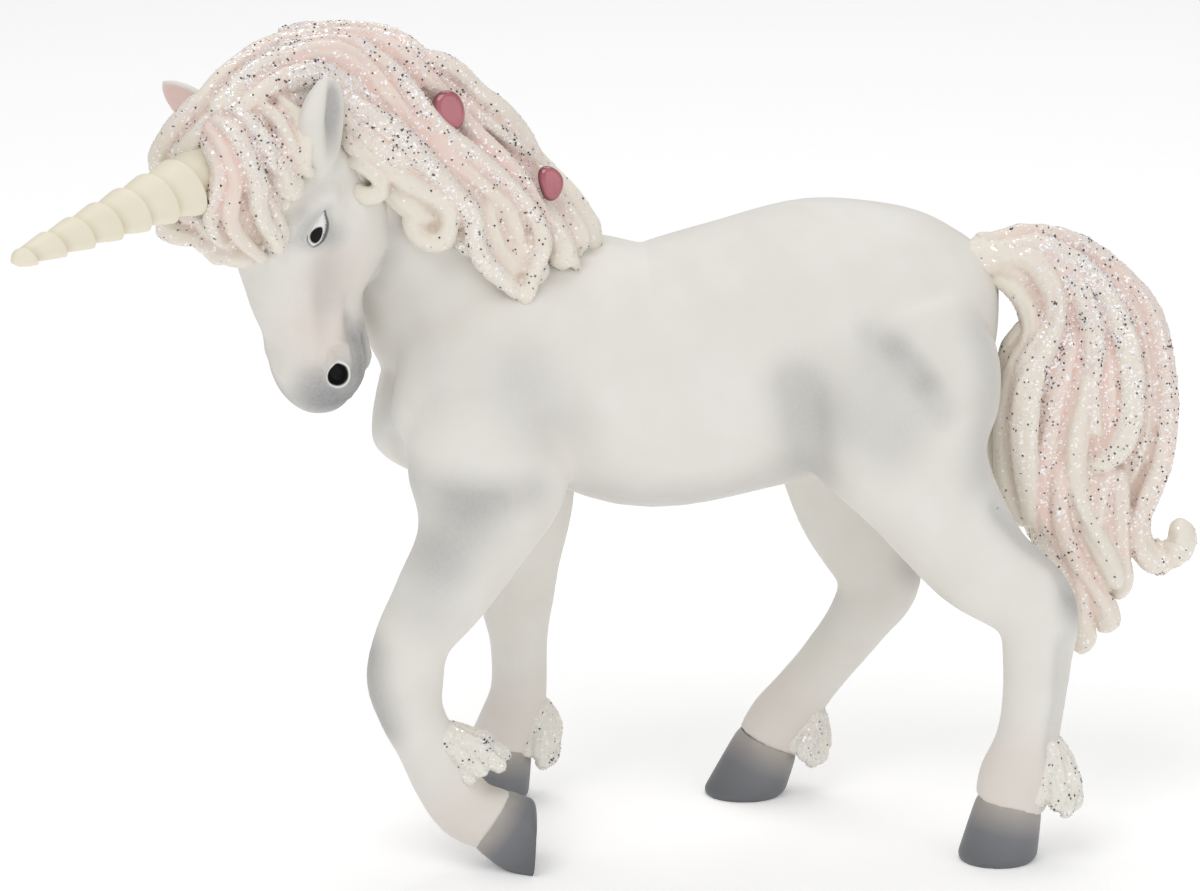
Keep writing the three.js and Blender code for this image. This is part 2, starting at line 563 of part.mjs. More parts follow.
// Gems: a low faceted stone with its back sunk in the mane.
// [share up the neck, degrees to the left, back of the gem over the skin as a share of the mane's lift,
// width as a share]
const GEM_FACETS = 9;
const GEMS = {
  gem_upper: [0.769, 55, 1.17, 1],
  gem_lower: [0.415, 30.6, 1.17, 0.85],
};
function gemForm([t, degrees, lift, wide], grow) {
  const height = GEM_HEIGHT + 2 * grow;
  const geometry = new THREE.CylinderGeometry(
    GEM_RADIUS * GEM_TABLE + grow, GEM_RADIUS + grow, height, GEM_FACETS);
  geometry.translate(0, height / 2 - grow, 0);
  geometry.scale(wide, 1, 1);
  const at = overNeck(t, degrees, lift * MANE_LIFT);
  const out = overNeck(t, degrees, lift * MANE_LIFT + 1).sub(at).normalize();
  geometry.applyQuaternion(new THREE.Quaternion().setFromUnitVectors(vec(0, 1, 0), out));
  geometry.translate(at.x, at.y, at.z);
  return solid(geometry);
}

// Assembly

const skin = { color: 0xf1eeea, roughness: 0.6, metalness: 0 };
const hair = { color: 0xf4dcd8, roughness: 0.5, metalness: 0 };
const ivory = { color: 0xf0e9d6, roughness: 0.45, metalness: 0 };
const greyHorn = { color: 0xb9bcc6, roughness: 0.5, metalness: 0 };
const rose = { color: 0xb5607c, roughness: 0.2, metalness: 0 };

const group = new THREE.Group();
function addPiece(name, shape, finish) {
  const tidy = largest(shape.asOriginal().simplify(SURFACE_TOLERANCE));
  const mesh = new THREE.Mesh(geometryOf(tidy), new THREE.MeshStandardMaterial(finish));
  mesh.name = name;
  group.add(mesh);
}

const aroundBody = bodyForm(CLEARANCE);
const aroundHead = headForm(CLEARANCE);
const aroundLegs = legs.map((leg) => leg.form(CLEARANCE));
const aroundEars = Object.values(EARS).map((ear) => ear.form(CLEARANCE));

// Legs part from the torso at a seam and plug into it with a peg; each hoof plugs onto its leg.
let torso = bodyForm(0);
for (const [name, leg] of Object.entries(LEGS)) {
  const seam = leg.spine.section(leg.seam);
  const end = leg.spine.section(1);
  const upward = seam.along.clone().negate();
  const legPeg = (grow) => peg(seam.at, upward, LEG_PEG_RADIUS, LEG_PEG_LENGTH, grow);
  const hoofPeg = (grow) => peg(end.at, end.along, HOOF_PEG_RADIUS, HOOF_PEG_LENGTH, grow);
  torso = torso.add(cut(leg.form(0), beyond(seam, -CLEARANCE / 2)));
  torso = cut(torso, legPeg(CLEARANCE));
  const lower = largest(cut(leg.form(0).intersect(beyond(seam, CLEARANCE / 2)), aroundBody));
  addPiece(name, unite([lower, legPeg(0), hoofPeg(0)]), skin);
  addPiece(name.replace("leg", "hoof"), cut(hoofForm(leg, 0), ground, hoofPeg(CLEARANCE)), greyHorn);
  const tuft = cut(tuftForm(leg, 0), leg.form(CLEARANCE), hoofForm(leg, CLEARANCE), ground);
  addPiece(name.replace("leg", "tuft"), tuft, hair);
}

// Eyes stand a little proud of the head and nostrils are hollowed:
// [share down, degrees round, lift over the skin as a share of the radius]
const EYE_PLACE = [0.33, 57, -0.53];
const NOSTRIL_PLACE = [0.73, 62, -0.27];
function faceBall([t, degrees, lift], side, radius) {
  const at = overFace(t, side * degrees, lift * radius);
  const geometry = new THREE.SphereGeometry(radius, 10, 8);
  geometry.translate(at.x, at.y, at.z);
  return solid(geometry);
}
let head = headForm(0);
for (const side of [-1, 1]) {
  head = head.add(faceBall(EYE_PLACE, side, EYE_RADIUS));
  head = cut(head, faceBall(NOSTRIL_PLACE, side, NOSTRIL_RADIUS));
}
head = cut(head, aroundBody);

const HEAD_PEG_LEAN = [0.85, 0.5]; // out through the face and down it
// The neck's peg enters the head; the horn and the ears plug into the head.
const headPegAxis = headOut.clone().multiplyScalar(HEAD_PEG_LEAN[0])
  .addScaledVector(headDown, HEAD_PEG_LEAN[1]);
const headPeg = (grow) => peg(neckSpine.section(1).at, headPegAxis, HEAD_PEG_RADIUS, HEAD_PEG_LENGTH, grow);
torso = torso.add(headPeg(0));
head = cut(head, headPeg(CLEARANCE));

const hornSeat = hornFoot.clone().addScaledVector(hornAxis, HORN_DEPTH);
const hornPeg = (grow) => peg(hornSeat, hornAxis.clone().negate(), HORN_PEG_RADIUS, HORN_PEG_LENGTH, grow);
head = cut(head, hornPeg(CLEARANCE));
addPiece("horn", largest(cut(hornForm(0), aroundHead)).add(hornPeg(0)), ivory);

for (const [name, ear] of Object.entries(EARS)) {
  const seat = ear.root.clone().addScaledVector(ear.along, EAR_DEPTH);
  const earPeg = (grow) => peg(seat, ear.along.clone().negate(), EAR_PEG_RADIUS, EAR_PEG_LENGTH, grow);
  head = cut(head, earPeg(CLEARANCE));
  addPiece(name, largest(cut(ear.form(0), ear.hollow, aroundHead, aroundBody)).add(earPeg(0)), skin);
}
addPiece("head", head, skin);

// Hair is moulded to sit over the neck and head; the gems sit in recesses in the mane.
const gemRecesses = Object.values(GEMS).map((gem) => gemForm(gem, CLEARANCE));
addPiece("mane", cut(maneForm(0), aroundBody, aroundHead, ...aroundEars, ...gemRecesses), hair);
const aroundHorn = hornForm(CLEARANCE).add(hornPeg(CLEARANCE));
const aroundForelock = [maneForm(CLEARANCE), aroundBody, aroundHead, aroundHorn, ...aroundEars];
addPiece("forelock", cut(forelockForm(0), ...aroundForelock), hair);
for (const [name, gem] of Object.entries(GEMS)) {
  addPiece(name, gemForm(gem, 0), rose);
}

// The tail plugs into the top of the rump.
const TAIL_SEAT = lay(62.9, 0, 95.1);
const TAIL_INWARD = vec(-0.95, 0, -0.3);
const tailPeg = (grow) => peg(TAIL_SEAT, TAIL_INWARD, TAIL_PEG_RADIUS, TAIL_PEG_LENGTH, grow);
addPiece("tail", largest(cut(tailForm(0), aroundBody, ...aroundLegs)).add(tailPeg(0)), hair);
addPiece("torso", cut(torso, tailPeg(CLEARANCE)), skin);

// The origin is the middle of the whole figure's footprint, on the ground.
const middle = new THREE.Box3().setFromObject(group).getCenter(new THREE.Vector3());
for (const mesh of group.children) {
  mesh.position.set(-middle.x, -middle.y, 0);
}

export default group;
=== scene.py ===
# %% [markdown]
# # A solid-moulded unicorn figure
# The real object is a small painted animal of solid plastic, about 128 mm long: a matt white body
# with soft grey airbrush shading, an ivory horn, pale pink hair strewn with glitter, grey hooves
# and two rose stones in the mane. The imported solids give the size, the pose and the seams. This
# lesson dresses each of them with a finer surface.

# %% Load the frame
import json
import math

import bmesh
import bpy
import numpy as np
from mathutils import Matrix, Vector
from mathutils.bvhtree import BVHTree

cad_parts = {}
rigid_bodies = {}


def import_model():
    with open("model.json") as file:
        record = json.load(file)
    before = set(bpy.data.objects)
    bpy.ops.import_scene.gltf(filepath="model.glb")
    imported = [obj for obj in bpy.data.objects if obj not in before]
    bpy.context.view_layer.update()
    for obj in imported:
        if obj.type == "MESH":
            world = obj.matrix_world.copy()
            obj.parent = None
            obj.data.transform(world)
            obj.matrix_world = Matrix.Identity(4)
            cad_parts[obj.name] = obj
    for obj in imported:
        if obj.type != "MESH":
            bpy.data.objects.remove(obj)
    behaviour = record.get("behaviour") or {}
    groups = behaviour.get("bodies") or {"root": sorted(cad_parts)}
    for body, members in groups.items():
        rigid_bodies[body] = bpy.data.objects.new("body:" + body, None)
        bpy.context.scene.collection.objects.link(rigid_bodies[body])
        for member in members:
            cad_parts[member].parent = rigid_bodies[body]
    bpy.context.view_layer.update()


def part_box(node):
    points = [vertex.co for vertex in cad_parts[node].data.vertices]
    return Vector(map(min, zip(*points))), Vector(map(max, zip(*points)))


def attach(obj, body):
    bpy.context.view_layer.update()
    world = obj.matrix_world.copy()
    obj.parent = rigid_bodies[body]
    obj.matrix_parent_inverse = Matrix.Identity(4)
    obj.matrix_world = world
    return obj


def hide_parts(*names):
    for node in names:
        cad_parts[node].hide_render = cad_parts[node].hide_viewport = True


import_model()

scene = bpy.context.scene
MM = 0.001


def in_mm(lengths):
    return [round(length / MM, 1) for length in lengths]


# %% [markdown]
# The figure is laid out from its own midline, with the ground at zero, while the frame's origin is
# the middle of the footprint. Both hind hooves stand at known places in the layout, so the shift
# between the two is read from them.

# %% Where the figure stands in the frame
HIND_HOOF_X = 43.272  # middle of the left hind sole in the layout, in mm


def middle(node):
    low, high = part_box(node)
    return (low + high) / 2


hind_soles = [middle("hind_hoof_left"), middle("hind_hoof_right")]
figure_origin = Vector((
    hind_soles[0].x - HIND_HOOF_X * MM,
    (hind_soles[0].y + hind_soles[1].y) / 2,
    0,
))


def at(x, y, z):
    """A place in the layout, in mm, as a place in the frame, in metres."""
    return Vector((x, y, z)) * MM + figure_origin


print("layout origin in mm:", in_mm(figure_origin))

# %% [markdown]
# The photograph looks at the animal's left side from a little above, through a long lens. A camera
# 600 mm away with a 164 mm lens gives the same flat perspective. It is aimed with a track
# quaternion, as a tripod head would be.

# %% Camera
CAMERA_AIM = at(0, 0, 44.5)
CAMERA_AZIMUTH = math.radians(-3)
CAMERA_ELEVATION = math.radians(15)
CAMERA_DISTANCE = 600 * MM
CAMERA_LENS = 163.6

toward_camera = Vector((
    math.sin(CAMERA_AZIMUTH) * math.cos(CAMERA_ELEVATION),
    -math.cos(CAMERA_AZIMUTH) * math.cos(CAMERA_ELEVATION),
    math.sin(CAMERA_ELEVATION),
))
bpy.ops.object.camera_add(
    location=CAMERA_AIM + toward_camera * CAMERA_DISTANCE,
    rotation=(-toward_camera).to_track_quat("-Z", "Y").to_euler(),
)
camera = bpy.context.object
camera.name = "photo_camera"
camera.data.lens = CAMERA_LENS
camera.data.sensor_width = 36
camera.data.clip_start = 0.01
scene.camera = camera
print("camera at", [round(c, 3) for c in camera.location])

# %% [markdown]
# A pale studio: one wide floor, a broad key light high on the left, a weaker fill on the right and
# a soft light above that keeps the back and the mane brighter than the flank. The Standard view
# keeps whites white.

# %% Floor and studio light
FLOOR_SIZE = 8
SKY_STRENGTH = 0.45
LIGHTS = {
    "key_light": ((-260, -460, 760), 520, 2.45),
    "fill_light": ((520, -620, 320), 600, 1.15),
    "top_light": ((80, 330, 820), 560, 2.2),
}  # place and size in mm, power in watts

bpy.ops.mesh.primitive_plane_add(size=FLOOR_SIZE)
floor = bpy.context.object
floor.name = "floor"
for name, (place, size, power) in LIGHTS.items():
    where = at(*place)
    aim = (CAMERA_AIM - where).to_track_quat("-Z", "Y").to_euler()
    bpy.ops.object.light_add(type="AREA", location=where, rotation=aim)
    light = bpy.context.object
    light.name = name
    light.data.size = size * MM
    light.data.energy = power
scene.world = scene.world or bpy.data.worlds.new("studio")
scene.world.use_nodes = True
sky = scene.world.node_tree.nodes["Background"]
sky.inputs["Color"].default_value = (1, 1, 1, 1)
sky.inputs["Strength"].default_value = SKY_STRENGTH
scene.view_settings.view_transform = "Standard"
print("lights:", list(LIGHTS))

# %% [markdown]
# Every rounded form on the figure is a run of oval sections: a trunk, a neck, a leg or a lock of
# hair. By hand that is a filled circle, extruded again and again, and each new ring moved, turned
# and scaled to the next section. The sections between the given ones come from a Catmull-Rom curve,
# which passes through every given row.

# %% Helpers for lofted forms
def pick(*objects):
    """Only these objects are selected, and the first is active."""
    if bpy.context.object and bpy.context.object.mode != "OBJECT":
        bpy.ops.object.mode_set(mode="OBJECT")
    bpy.ops.object.select_all(action="DESELECT")
    for piece in objects:
        piece.select_set(True)
    if objects:
        bpy.context.view_layer.objects.active = objects[0]


def face_outward():
    """Turns the normals of the active mesh outward and leaves edit mode."""
    bpy.ops.object.mode_set(mode="EDIT")
    bpy.ops.mesh.select_all(action="SELECT")
    bpy.ops.mesh.normals_make_consistent(inside=False)
    bpy.ops.object.mode_set(mode="OBJECT")


def shade_smooth(piece):
    pick(piece)
    bpy.ops.object.shade_smooth()


def smooth_run(rows, steps):
    """Rows of numbers carried through smoothly, every column alike."""
    rows = np.array(rows, float)
    padded = np.vstack([2 * rows[0] - rows[1], rows, 2 * rows[-1] - rows[-2]])
    place = np.linspace(0, len(rows) - 1, steps)
    first = np.minimum(place.astype(int), len(rows) - 2)
    u = (place - first)[:, None]
    a, b, c, d = (padded[first + k] for k in range(4))
    bend, turn = 2 * a - 5 * b + 4 * c - d, 3 * b - a - 3 * c + d
    return 0.5 * (2 * b + (c - a) * u + bend * u**2 + turn * u**3)


def unit(vectors):
    return vectors / np.linalg.norm(vectors, axis=-1, keepdims=True)


def sections_of(rows, steps):
    """Section centres, side, out and along directions, half widths and half depths, in mm."""
    run = smooth_run(rows, steps)
    centres = run[:, :3]
    along = unit(np.gradient(centres, axis=0))
    side = run[:, 5:8]
    side = unit(side - along * np.sum(side * along, axis=1, keepdims=True))
    return centres, side, np.cross(side, along), along, run[:, 3], run[:, 4]


FINE = 200  # steps of a run that is read at any share of its length


def fine_run(rows):
    return sections_of(rows, FINE + 1)


def spot_at(share):
    return min(FINE, max(0, round(share * FINE)))


def frame_of(side, out, along, centre):
    """A matrix that carries a unit form to a place, with three axes and a centre in mm."""
    made = Matrix.Identity(4)
    for column, axis in enumerate((side, out, along)):
        made.col[column][:3] = axis * MM
    made.col[3][:3] = at(*centre)
    return made


def loft(name, rows, around=28, steps=40, ring=None, twist=0.0):
    """Extrudes a circle through rows of [x, y, z, half width, half depth, side x, y, z], in mm.
    ring gives the circle other radii, and twist turns it once round for each unit."""
    centres, sides, outs, alongs, wide, deep = sections_of(rows, steps)
    frames = []
    for i in range(steps):
        turn = Matrix.Rotation(-2 * math.pi * twist * i / (steps - 1), 4, "Z")
        frames.append(frame_of(sides[i] * wide[i], outs[i] * deep[i], alongs[i], centres[i]) @ turn)
    pick()
    bpy.ops.mesh.primitive_circle_add(vertices=around, radius=1, fill_type="NGON")
    form = bpy.context.object
    form.name = name
    if ring is not None:
        for vertex in form.data.vertices:
            vertex.co *= ring(math.atan2(vertex.co.y, vertex.co.x) % (2 * math.pi))
    form.data.transform(frames[0])
    bpy.ops.object.mode_set(mode="EDIT")
    for before, after in zip(frames, frames[1:]):
        bpy.ops.mesh.extrude_region_move()
        shape = bmesh.from_edit_mesh(form.data)
        moved = [v for v in shape.verts if v.select]
        bmesh.ops.transform(shape, matrix=after @ before.inverted(), verts=moved)
    face_outward()
    return form


def fuse(name, forms, voxel):
    """Joins closed forms and melts them into one skin with a voxel remesh."""
    pick(*forms)
    bpy.ops.object.join()
    skin = bpy.context.object
    skin.name = name
    remesh = skin.modifiers.new("Melt", "REMESH")
    remesh.mode = "VOXEL"
    remesh.voxel_size = voxel * MM
    bpy.ops.object.modifier_apply(modifier=remesh.name)
    return skin


def relax(piece, rounds, group="", factor=0.5):
    """Smooths a piece, or only its vertex group."""
    pick(piece)
    smooth = piece.modifiers.new("Relax", "SMOOTH")
    smooth.iterations = rounds
    smooth.factor = factor
    smooth.vertex_group = group
    bpy.ops.object.modifier_apply(modifier=smooth.name)


print("helpers ready: loft, fuse and relax")

# %% [markdown]
# Sculpting needs the points of a mesh as plain numbers. These helpers read them in layout
# millimetres, measure how far they lie from a line, write them back, and keep values with them as
# vertex groups or colour attributes.

# %% Helpers for points
def read(items, field, width=3, kind=float):
    """One field of many mesh items, as rows of numbers."""
    flat = np.empty(len(items) * width, kind)
    items.foreach_get(field, flat)
    return flat.reshape(-1, width)


def to_layout(places):
    """Places in the frame, in metres, as places in the layout, in mm."""
    return (np.array(places) - np.array(figure_origin)) / MM


def points_of(piece):
    return to_layout(read(piece.data.vertices, "co"))


def normals_of(piece):
    return read(piece.data.vertex_normals, "vector")


def set_points(piece, points):
    flat = points * MM + np.array(figure_origin)
    piece.data.vertices.foreach_set("co", flat.astype(np.float32).ravel())
    piece.data.update()


def near(points, path):
    """Distance of each point from a line through the places of a path."""
    path = np.atleast_2d(np.array(path, float))
    if len(path) == 1:
        return np.linalg.norm(points - path[0], axis=1)
    best = np.full(len(points), np.inf)
    for a, b in zip(path, path[1:]):
        run = b - a
        share = np.clip((points - a) @ run / (run @ run), 0, 1)
        best = np.minimum(best, np.linalg.norm(points - a - share[:, None] * run, axis=1))
    return best


def fade(distance, radius):
    """1 on the line, easing to 0 at the radius."""
    share = np.clip(1 - distance / radius, 0, 1)
    return share * share * (3 - 2 * share)


def ridge(distance, middle_line, reach):
    """1 at one distance, easing to 0 on both sides of it."""
    return fade(np.abs(distance - middle_line), reach)


def read_off(rows, x, column=1):
    """A column of a table, read off at x on its first column."""
    return np.interp(x, [row[0] for row in rows], [row[column] for row in rows])


def weigh(piece, group, weights):
    """Stores weights, to a tenth, as a vertex group."""
    made = piece.vertex_groups.new(name=group)
    levels = np.round(weights, 1)
    for level in np.unique(levels[levels > 0]):
        made.add(np.flatnonzero(levels == level).tolist(), float(level), "REPLACE")


def store(piece, name, *channels):
    """Keeps up to four channels as a colour attribute on the points."""
    values = np.zeros((len(piece.data.vertices), 4), np.float32)
    for column, channel in enumerate(channels):
        values[:, column] = channel
    made = piece.data.attributes.new(name, "FLOAT_COLOR", "POINT")
    made.data.foreach_set("color", values.ravel())


def select_faces(piece, chosen):
    """Selects the faces whose middles are chosen, and stays in edit mode."""
    pick(piece)
    bpy.ops.object.mode_set(mode="EDIT")
    bpy.ops.mesh.select_mode(type="FACE")
    bpy.ops.mesh.select_all(action="DESELECT")
    bpy.ops.object.mode_set(mode="OBJECT")
    faces = piece.data.polygons
    faces.foreach_set("select", chosen(to_layout(read(faces, "center"))))
    bpy.ops.object.mode_set(mode="EDIT")


print("helpers ready: points, distances, weights and masks")

# %% [markdown]
# The trunk, neck and head. The head is tucked in and turned to the animal's left, so its rows are
# written in its own frame: down the face from the poll, out through the brow, and to its left. The
# same frame places the horn, the ears, the eyes and the forelock later on.

# %% Trunk, head frame and neck
LEFT = np.array((0.0, -1.0, 0.0))
RIGHT = -LEFT
UP = np.array((0.0, 0.0, 1.0))
BARREL_HALF_WIDTH = 14.2
TRUNK = [
    (-24.2, 51.8, 3.8, 0.27), (-21.8, 51.4, 9.2, 0.66), (-17, 52.6, 13, 0.86),
    (-10, 55.5, 13.3, 0.95), (-3, 54.7, 13.7, 0.98), (5, 52.5, 14.6, 1), (15, 54.5, 15, 1),
    (25, 57.1, 15, 0.97), (32, 58.3, 13, 0.9), (38, 58.2, 10.4, 0.78), (41.2, 58, 8, 0.58),
    (43.2, 57.8, 4.8, 0.34),
]  # x, middle z, half height, width share
trunk_rows = [(x, 0, z, share * BARREL_HALF_WIDTH, half, *LEFT) for x, z, half, share in TRUNK]

POLL = np.array((-34.6, -12.4, 81.9))
HEAD_YAW = math.radians(42)
HEAD_TUCK = math.radians(13)
HEAD_LENGTH = 31
HEAD_HALF_WIDTH = 7.3
facing = np.array((-math.cos(HEAD_YAW), -math.sin(HEAD_YAW), 0))
head_left = np.cross(UP, facing)
head_down = -math.sin(HEAD_TUCK) * facing - math.cos(HEAD_TUCK) * UP
head_out = np.cross(head_down, head_left)


def on_head(down, out, left):
    return POLL + head_down * down + head_out * out + head_left * left


HEAD = [
    (-0.06, -1.8, 3.8, 0.5), (0.02, -1.8, 7.2, 0.82), (0.14, -2.3, 9.4, 0.98),
    (0.28, -2.9, 10.7, 1), (0.42, -1.2, 10, 0.88), (0.56, 0.2, 7.2, 0.74), (0.69, 0.3, 5.8, 0.67),
    (0.81, 0.3, 5.8, 0.7), (0.89, -0.2, 5.2, 0.64), (0.937, -0.9, 3.8, 0.46),
    (0.962, -1.6, 1.8, 0.22),
]  # share of the length, middle out, half depth, width share
head_rows = [
    (*on_head(share * HEAD_LENGTH, out, 0), wide * HEAD_HALF_WIDTH, deep, *head_left)
    for share, out, deep, wide in HEAD
]

neck_rows = [
    (-8, 0, 55.1, 9.5, 13, *RIGHT),
    (-13.5, -0.6, 62.1, 9.6, 13.2, *RIGHT),
    (-18, -2, 69.1, 8.2, 11.2, *RIGHT),
    (-22.5, -4.2, 75.6, 7, 9.8, -0.25, 0.97, 0),
    (-26.2, -6.8, 79.7, 6.2, 8.2, -0.5, 0.87, 0),
    (*on_head(0.8, -5, 0), 4.2, 4, *-head_left),
]
body_forms = [
    loft("trunk", trunk_rows, around=48, steps=60),
    loft("neck", neck_rows, around=40, steps=40),
]
head_form = loft("face", head_rows, around=40, steps=48)
print("body forms:", [form.name for form in body_forms], "and", head_form.name)

# %% [markdown]
# Four legs in a walk. Each row of a leg gives its place from the side, its depth and width, and how
# far it has moved out from the shoulder or hip to the stance. The left fore leg is bent, with only
# the toe down.

# %% Legs
STANCE = 12
HIP = 9.2
SHOULDER = 8.6
LEGS = {
    "fore_leg_left": (-1, SHOULDER, [
        (-12, 53.1, 8.6, 4.9, 0), (-12.8, 43.1, 8.8, 4.9, 0.3), (-14.7, 36.5, 6.1, 4.4, 0.6),
        (-18.2, 30.6, 5, 3.9, 0.85), (-21, 26.1, 4.2, 3.5, 1), (-21.8, 21.7, 4.3, 3.6, 1),
        (-21.2, 17.8, 3.6, 2.9, 1), (-19.5, 14.2, 3.4, 2.9, 1), (-17.6, 10.3, 3.6, 3.2, 1),
        (-15.2, 6.7, 3.6, 3.2, 1), (-11.5, 5.2, 3.5, 3.2, 1)]),
    "fore_leg_right": (1, SHOULDER, [
        (-12, 53.1, 8.6, 4.9, 0), (-9.4, 43.1, 7.6, 4.9, 0.3), (-8.4, 35.1, 6, 4.4, 0.6),
        (-8.6, 28.1, 4.7, 3.8, 0.9), (-8.8, 22.9, 4.1, 3.6, 1), (-8.6, 18.6, 3.3, 2.9, 1),
        (-8.6, 13.1, 3.2, 2.9, 1), (-9.4, 9.1, 3.7, 3.2, 1), (-10.9, 6, 3.6, 3.2, 1)]),
    "hind_leg_left": (-1, HIP, [
        (29, 61.1, 9.5, 5, 0), (30.5, 55.1, 12.2, 6.2, 0), (32.5, 47.8, 11.1, 6.2, 0.15),
        (35, 42.1, 7.6, 5.4, 0.45), (40.7, 34, 5.8, 4.3, 0.8), (46.8, 28.8, 4.7, 3.6, 1),
        (47.2, 23.1, 3.9, 3.2, 1), (47, 18.5, 3.5, 2.9, 1), (46.4, 13.9, 3.5, 2.9, 1),
        (45.4, 9.5, 4.3, 3.4, 1), (44.4, 6.2, 3.9, 3.4, 1)]),
    "hind_leg_right": (1, HIP, [
        (29, 61.1, 9.5, 5, 0), (29.5, 55.1, 12, 6.2, 0), (28.4, 47.6, 10, 6.2, 0.15),
        (28, 41.1, 8, 5.4, 0.45), (29, 34.1, 6.3, 4.4, 0.8), (32.2, 25.7, 5, 3.6, 1),
        (30, 20.5, 3.7, 3.2, 1), (26.4, 15.5, 3.2, 2.9, 1), (23.6, 11.9, 3.3, 2.9, 1),
        (21.4, 8.7, 3.8, 3.2, 1), (19.6, 5.9, 3.6, 3.2, 1)]),
}  # side, half width at the top, rows of x, z, half depth, half width, share of the way out


def leg_rows(name):
    sign, top, rows = LEGS[name]
    return [
        (x, sign * (top + (STANCE - top) * share), z, wide, deep, *LEFT)
        for x, z, deep, wide, share in rows
    ]


for name in LEGS:
    body_forms.append(loft(name + "_form", leg_rows(name), around=32, steps=56))
print("forms to melt:", len(body_forms))

# %% [markdown]
# The moulding has no hard joint where a leg leaves the trunk, so the forms are melted into one skin
# and the hollows of the joints are relaxed. The head stays apart, because the real jaw overlaps the
# neck with a crisp edge. A vertex group holds the smoothing to shoulders, hips, throat and breast,
# and the rest gets only a light pass that takes the voxel steps away.

# %% One skin
SKIN_VOXEL = 0.42
HEAD_VOXEL = 0.3
JOINT_SPREAD = 1.5
JOINT_ROUNDS, SKIN_ROUNDS, HEAD_ROUNDS = 60, 6, 4
JOINTS = [
    ((-14, -9, 42), 9), ((-12, 9, 42), 9), ((30, -9, 46), 13), ((29, 9, 46), 13),
    ((-14, 0, 66), 13), ((-22, -3, 62), 7), ((40, 0, 60), 8), ((31, -12, 60), 10),
    ((31, 12, 60), 10), ((20, -10, 44), 7), ((20, 10, 44), 7), ((-24, 0, 52), 5),
    ((-16.8, -12, 23.6), 4), ((42.9, -12, 26.1), 5), ((41.6, -9, 50.6), 4), ((27.4, 12, 24.6), 5),
]  # places and reach of the joints, in mm
skin = fuse("torso_skin", body_forms, SKIN_VOXEL)
head_skin = fuse("head_skin", [head_form], HEAD_VOXEL)
points = points_of(skin)
weigh(skin, "joints", np.max(
    [fade(near(points, place), reach * JOINT_SPREAD) for place, reach in JOINTS], axis=0))
relax(skin, JOINT_ROUNDS, "joints")
relax(skin, SKIN_ROUNDS)
relax(head_skin, HEAD_ROUNDS)
print("skin faces:", len(skin.data.polygons), "and", len(head_skin.data.polygons))

# %% [markdown]
# Muscles are then worked in with strokes, as with a modelling tool on clay. A stroke is a line on
# one side of the animal, given from the side as x and z. It is dropped onto the skin with a ray,
# and all points near it move along their normals, out for a swell and in for a groove.

# %% Muscle strokes on the body
OUTSIDE = 60  # a ray starts this far from the midline, in mm


def dropped(tree, starts, way):
    """The places on the skin that rays from these starts hit first."""
    hits = [tree.ray_cast(at(*start), Vector(way))[0] for start in starts]
    return [to_layout(hit) for hit in hits if hit is not None]


def on_side(tree, sign, line):
    """A line of (x, z), dropped onto one side of the body."""
    return dropped(tree, [(x, sign * OUTSIDE, z) for x, z in line], (0, -sign, 0))


def stroke_paths(piece, rows, drop):
    """The dropped path, the reach and the strength of each stroke, on each of its sides."""
    tree = BVHTree.FromObject(piece, bpy.context.evaluated_depsgraph_get())
    for sides, line, reach, strength in rows:
        for sign in sides:
            path = drop(tree, sign, line)
            if path:
                yield path, reach, strength


def sculpt(piece, rows, drop):
    """Moves the points near each stroke along their normals."""
    points, normals = points_of(piece), normals_of(piece)
    for path, reach, height in stroke_paths(piece, rows, drop):
        points = points + normals * (height * fade(near(points, path), reach))[:, None]
    set_points(piece, points)


BOTH, NEAR_SIDE, FAR_SIDE = (-1, 1), (-1,), (1,)
STROKES = [
    # crease across the thigh
    (NEAR_SIDE, [(28.4, 60.8), (31.8, 57.8), (33.7, 55.3), (36.4, 51.8)], 2.8, -0.95),
    (FAR_SIDE, [(26, 61), (30, 56.8), (35.4, 51.6)], 3.4, -0.8),
    (BOTH, [(36, 60), (38, 55)], 7, 0.8),  # buttock
    (BOTH, [(25, 57), (28, 51)], 6, 0.6),  # front of the thigh
    (BOTH, [(20.4, 55), (21.8, 50), (22.8, 45)], 3.6, -1.1),  # flank
    (BOTH, [(-13, 58), (-12, 51)], 8, 0.7),  # shoulder
    (BOTH, [(-4.4, 62), (-3.6, 52), (-4.4, 46)], 4.5, -0.6),  # behind the shoulder
    # breast
    (NEAR_SIDE, [(-22.9, 54), (-22.6, 47), (-21.4, 44.2), (-17.6, 42.4),
                 (-11.5, 42.2)], 1.7, -0.75),
    (FAR_SIDE, [(-22.4, 52), (-21.4, 45.5), (-17, 42.6)], 1.8, -0.6),
    (NEAR_SIDE, [(-4.6, 45.6)], 4, 0.5),  # elbow
    # groove before the hock
    (NEAR_SIDE, [(42.4, 40.4), (45, 37), (48.8, 33.6), (50.2, 30.8)], 1.8, -0.42),
    # tendon behind it
    (NEAR_SIDE, [(43.8, 40.6), (46.4, 37.6), (50.6, 34), (51.6, 31)], 1.5, 0.35),
    (NEAR_SIDE, [(49.4, 25), (49.2, 19), (48.4, 13)], 0.9, -0.35),  # tendon of the cannon
    (FAR_SIDE, [(36.6, 27.4), (33.6, 22.6), (29.4, 17)], 0.9, -0.3),
    (NEAR_SIDE, [(-22.4, 22.4)], 3.4, 0.35),  # knee
    (FAR_SIDE, [(-9.4, 23)], 3.2, 0.35),
    (BOTH, [(-24, 68), (-21.4, 60), (-20, 54)], 4.4, -0.4),  # groove down the throat
    (BOTH, [(4, 45), (14, 45)], 7, 0.3),  # belly
]
sculpt(skin, STROKES, on_side)
relax(skin, 2)
print("strokes worked in:", len(STROKES))

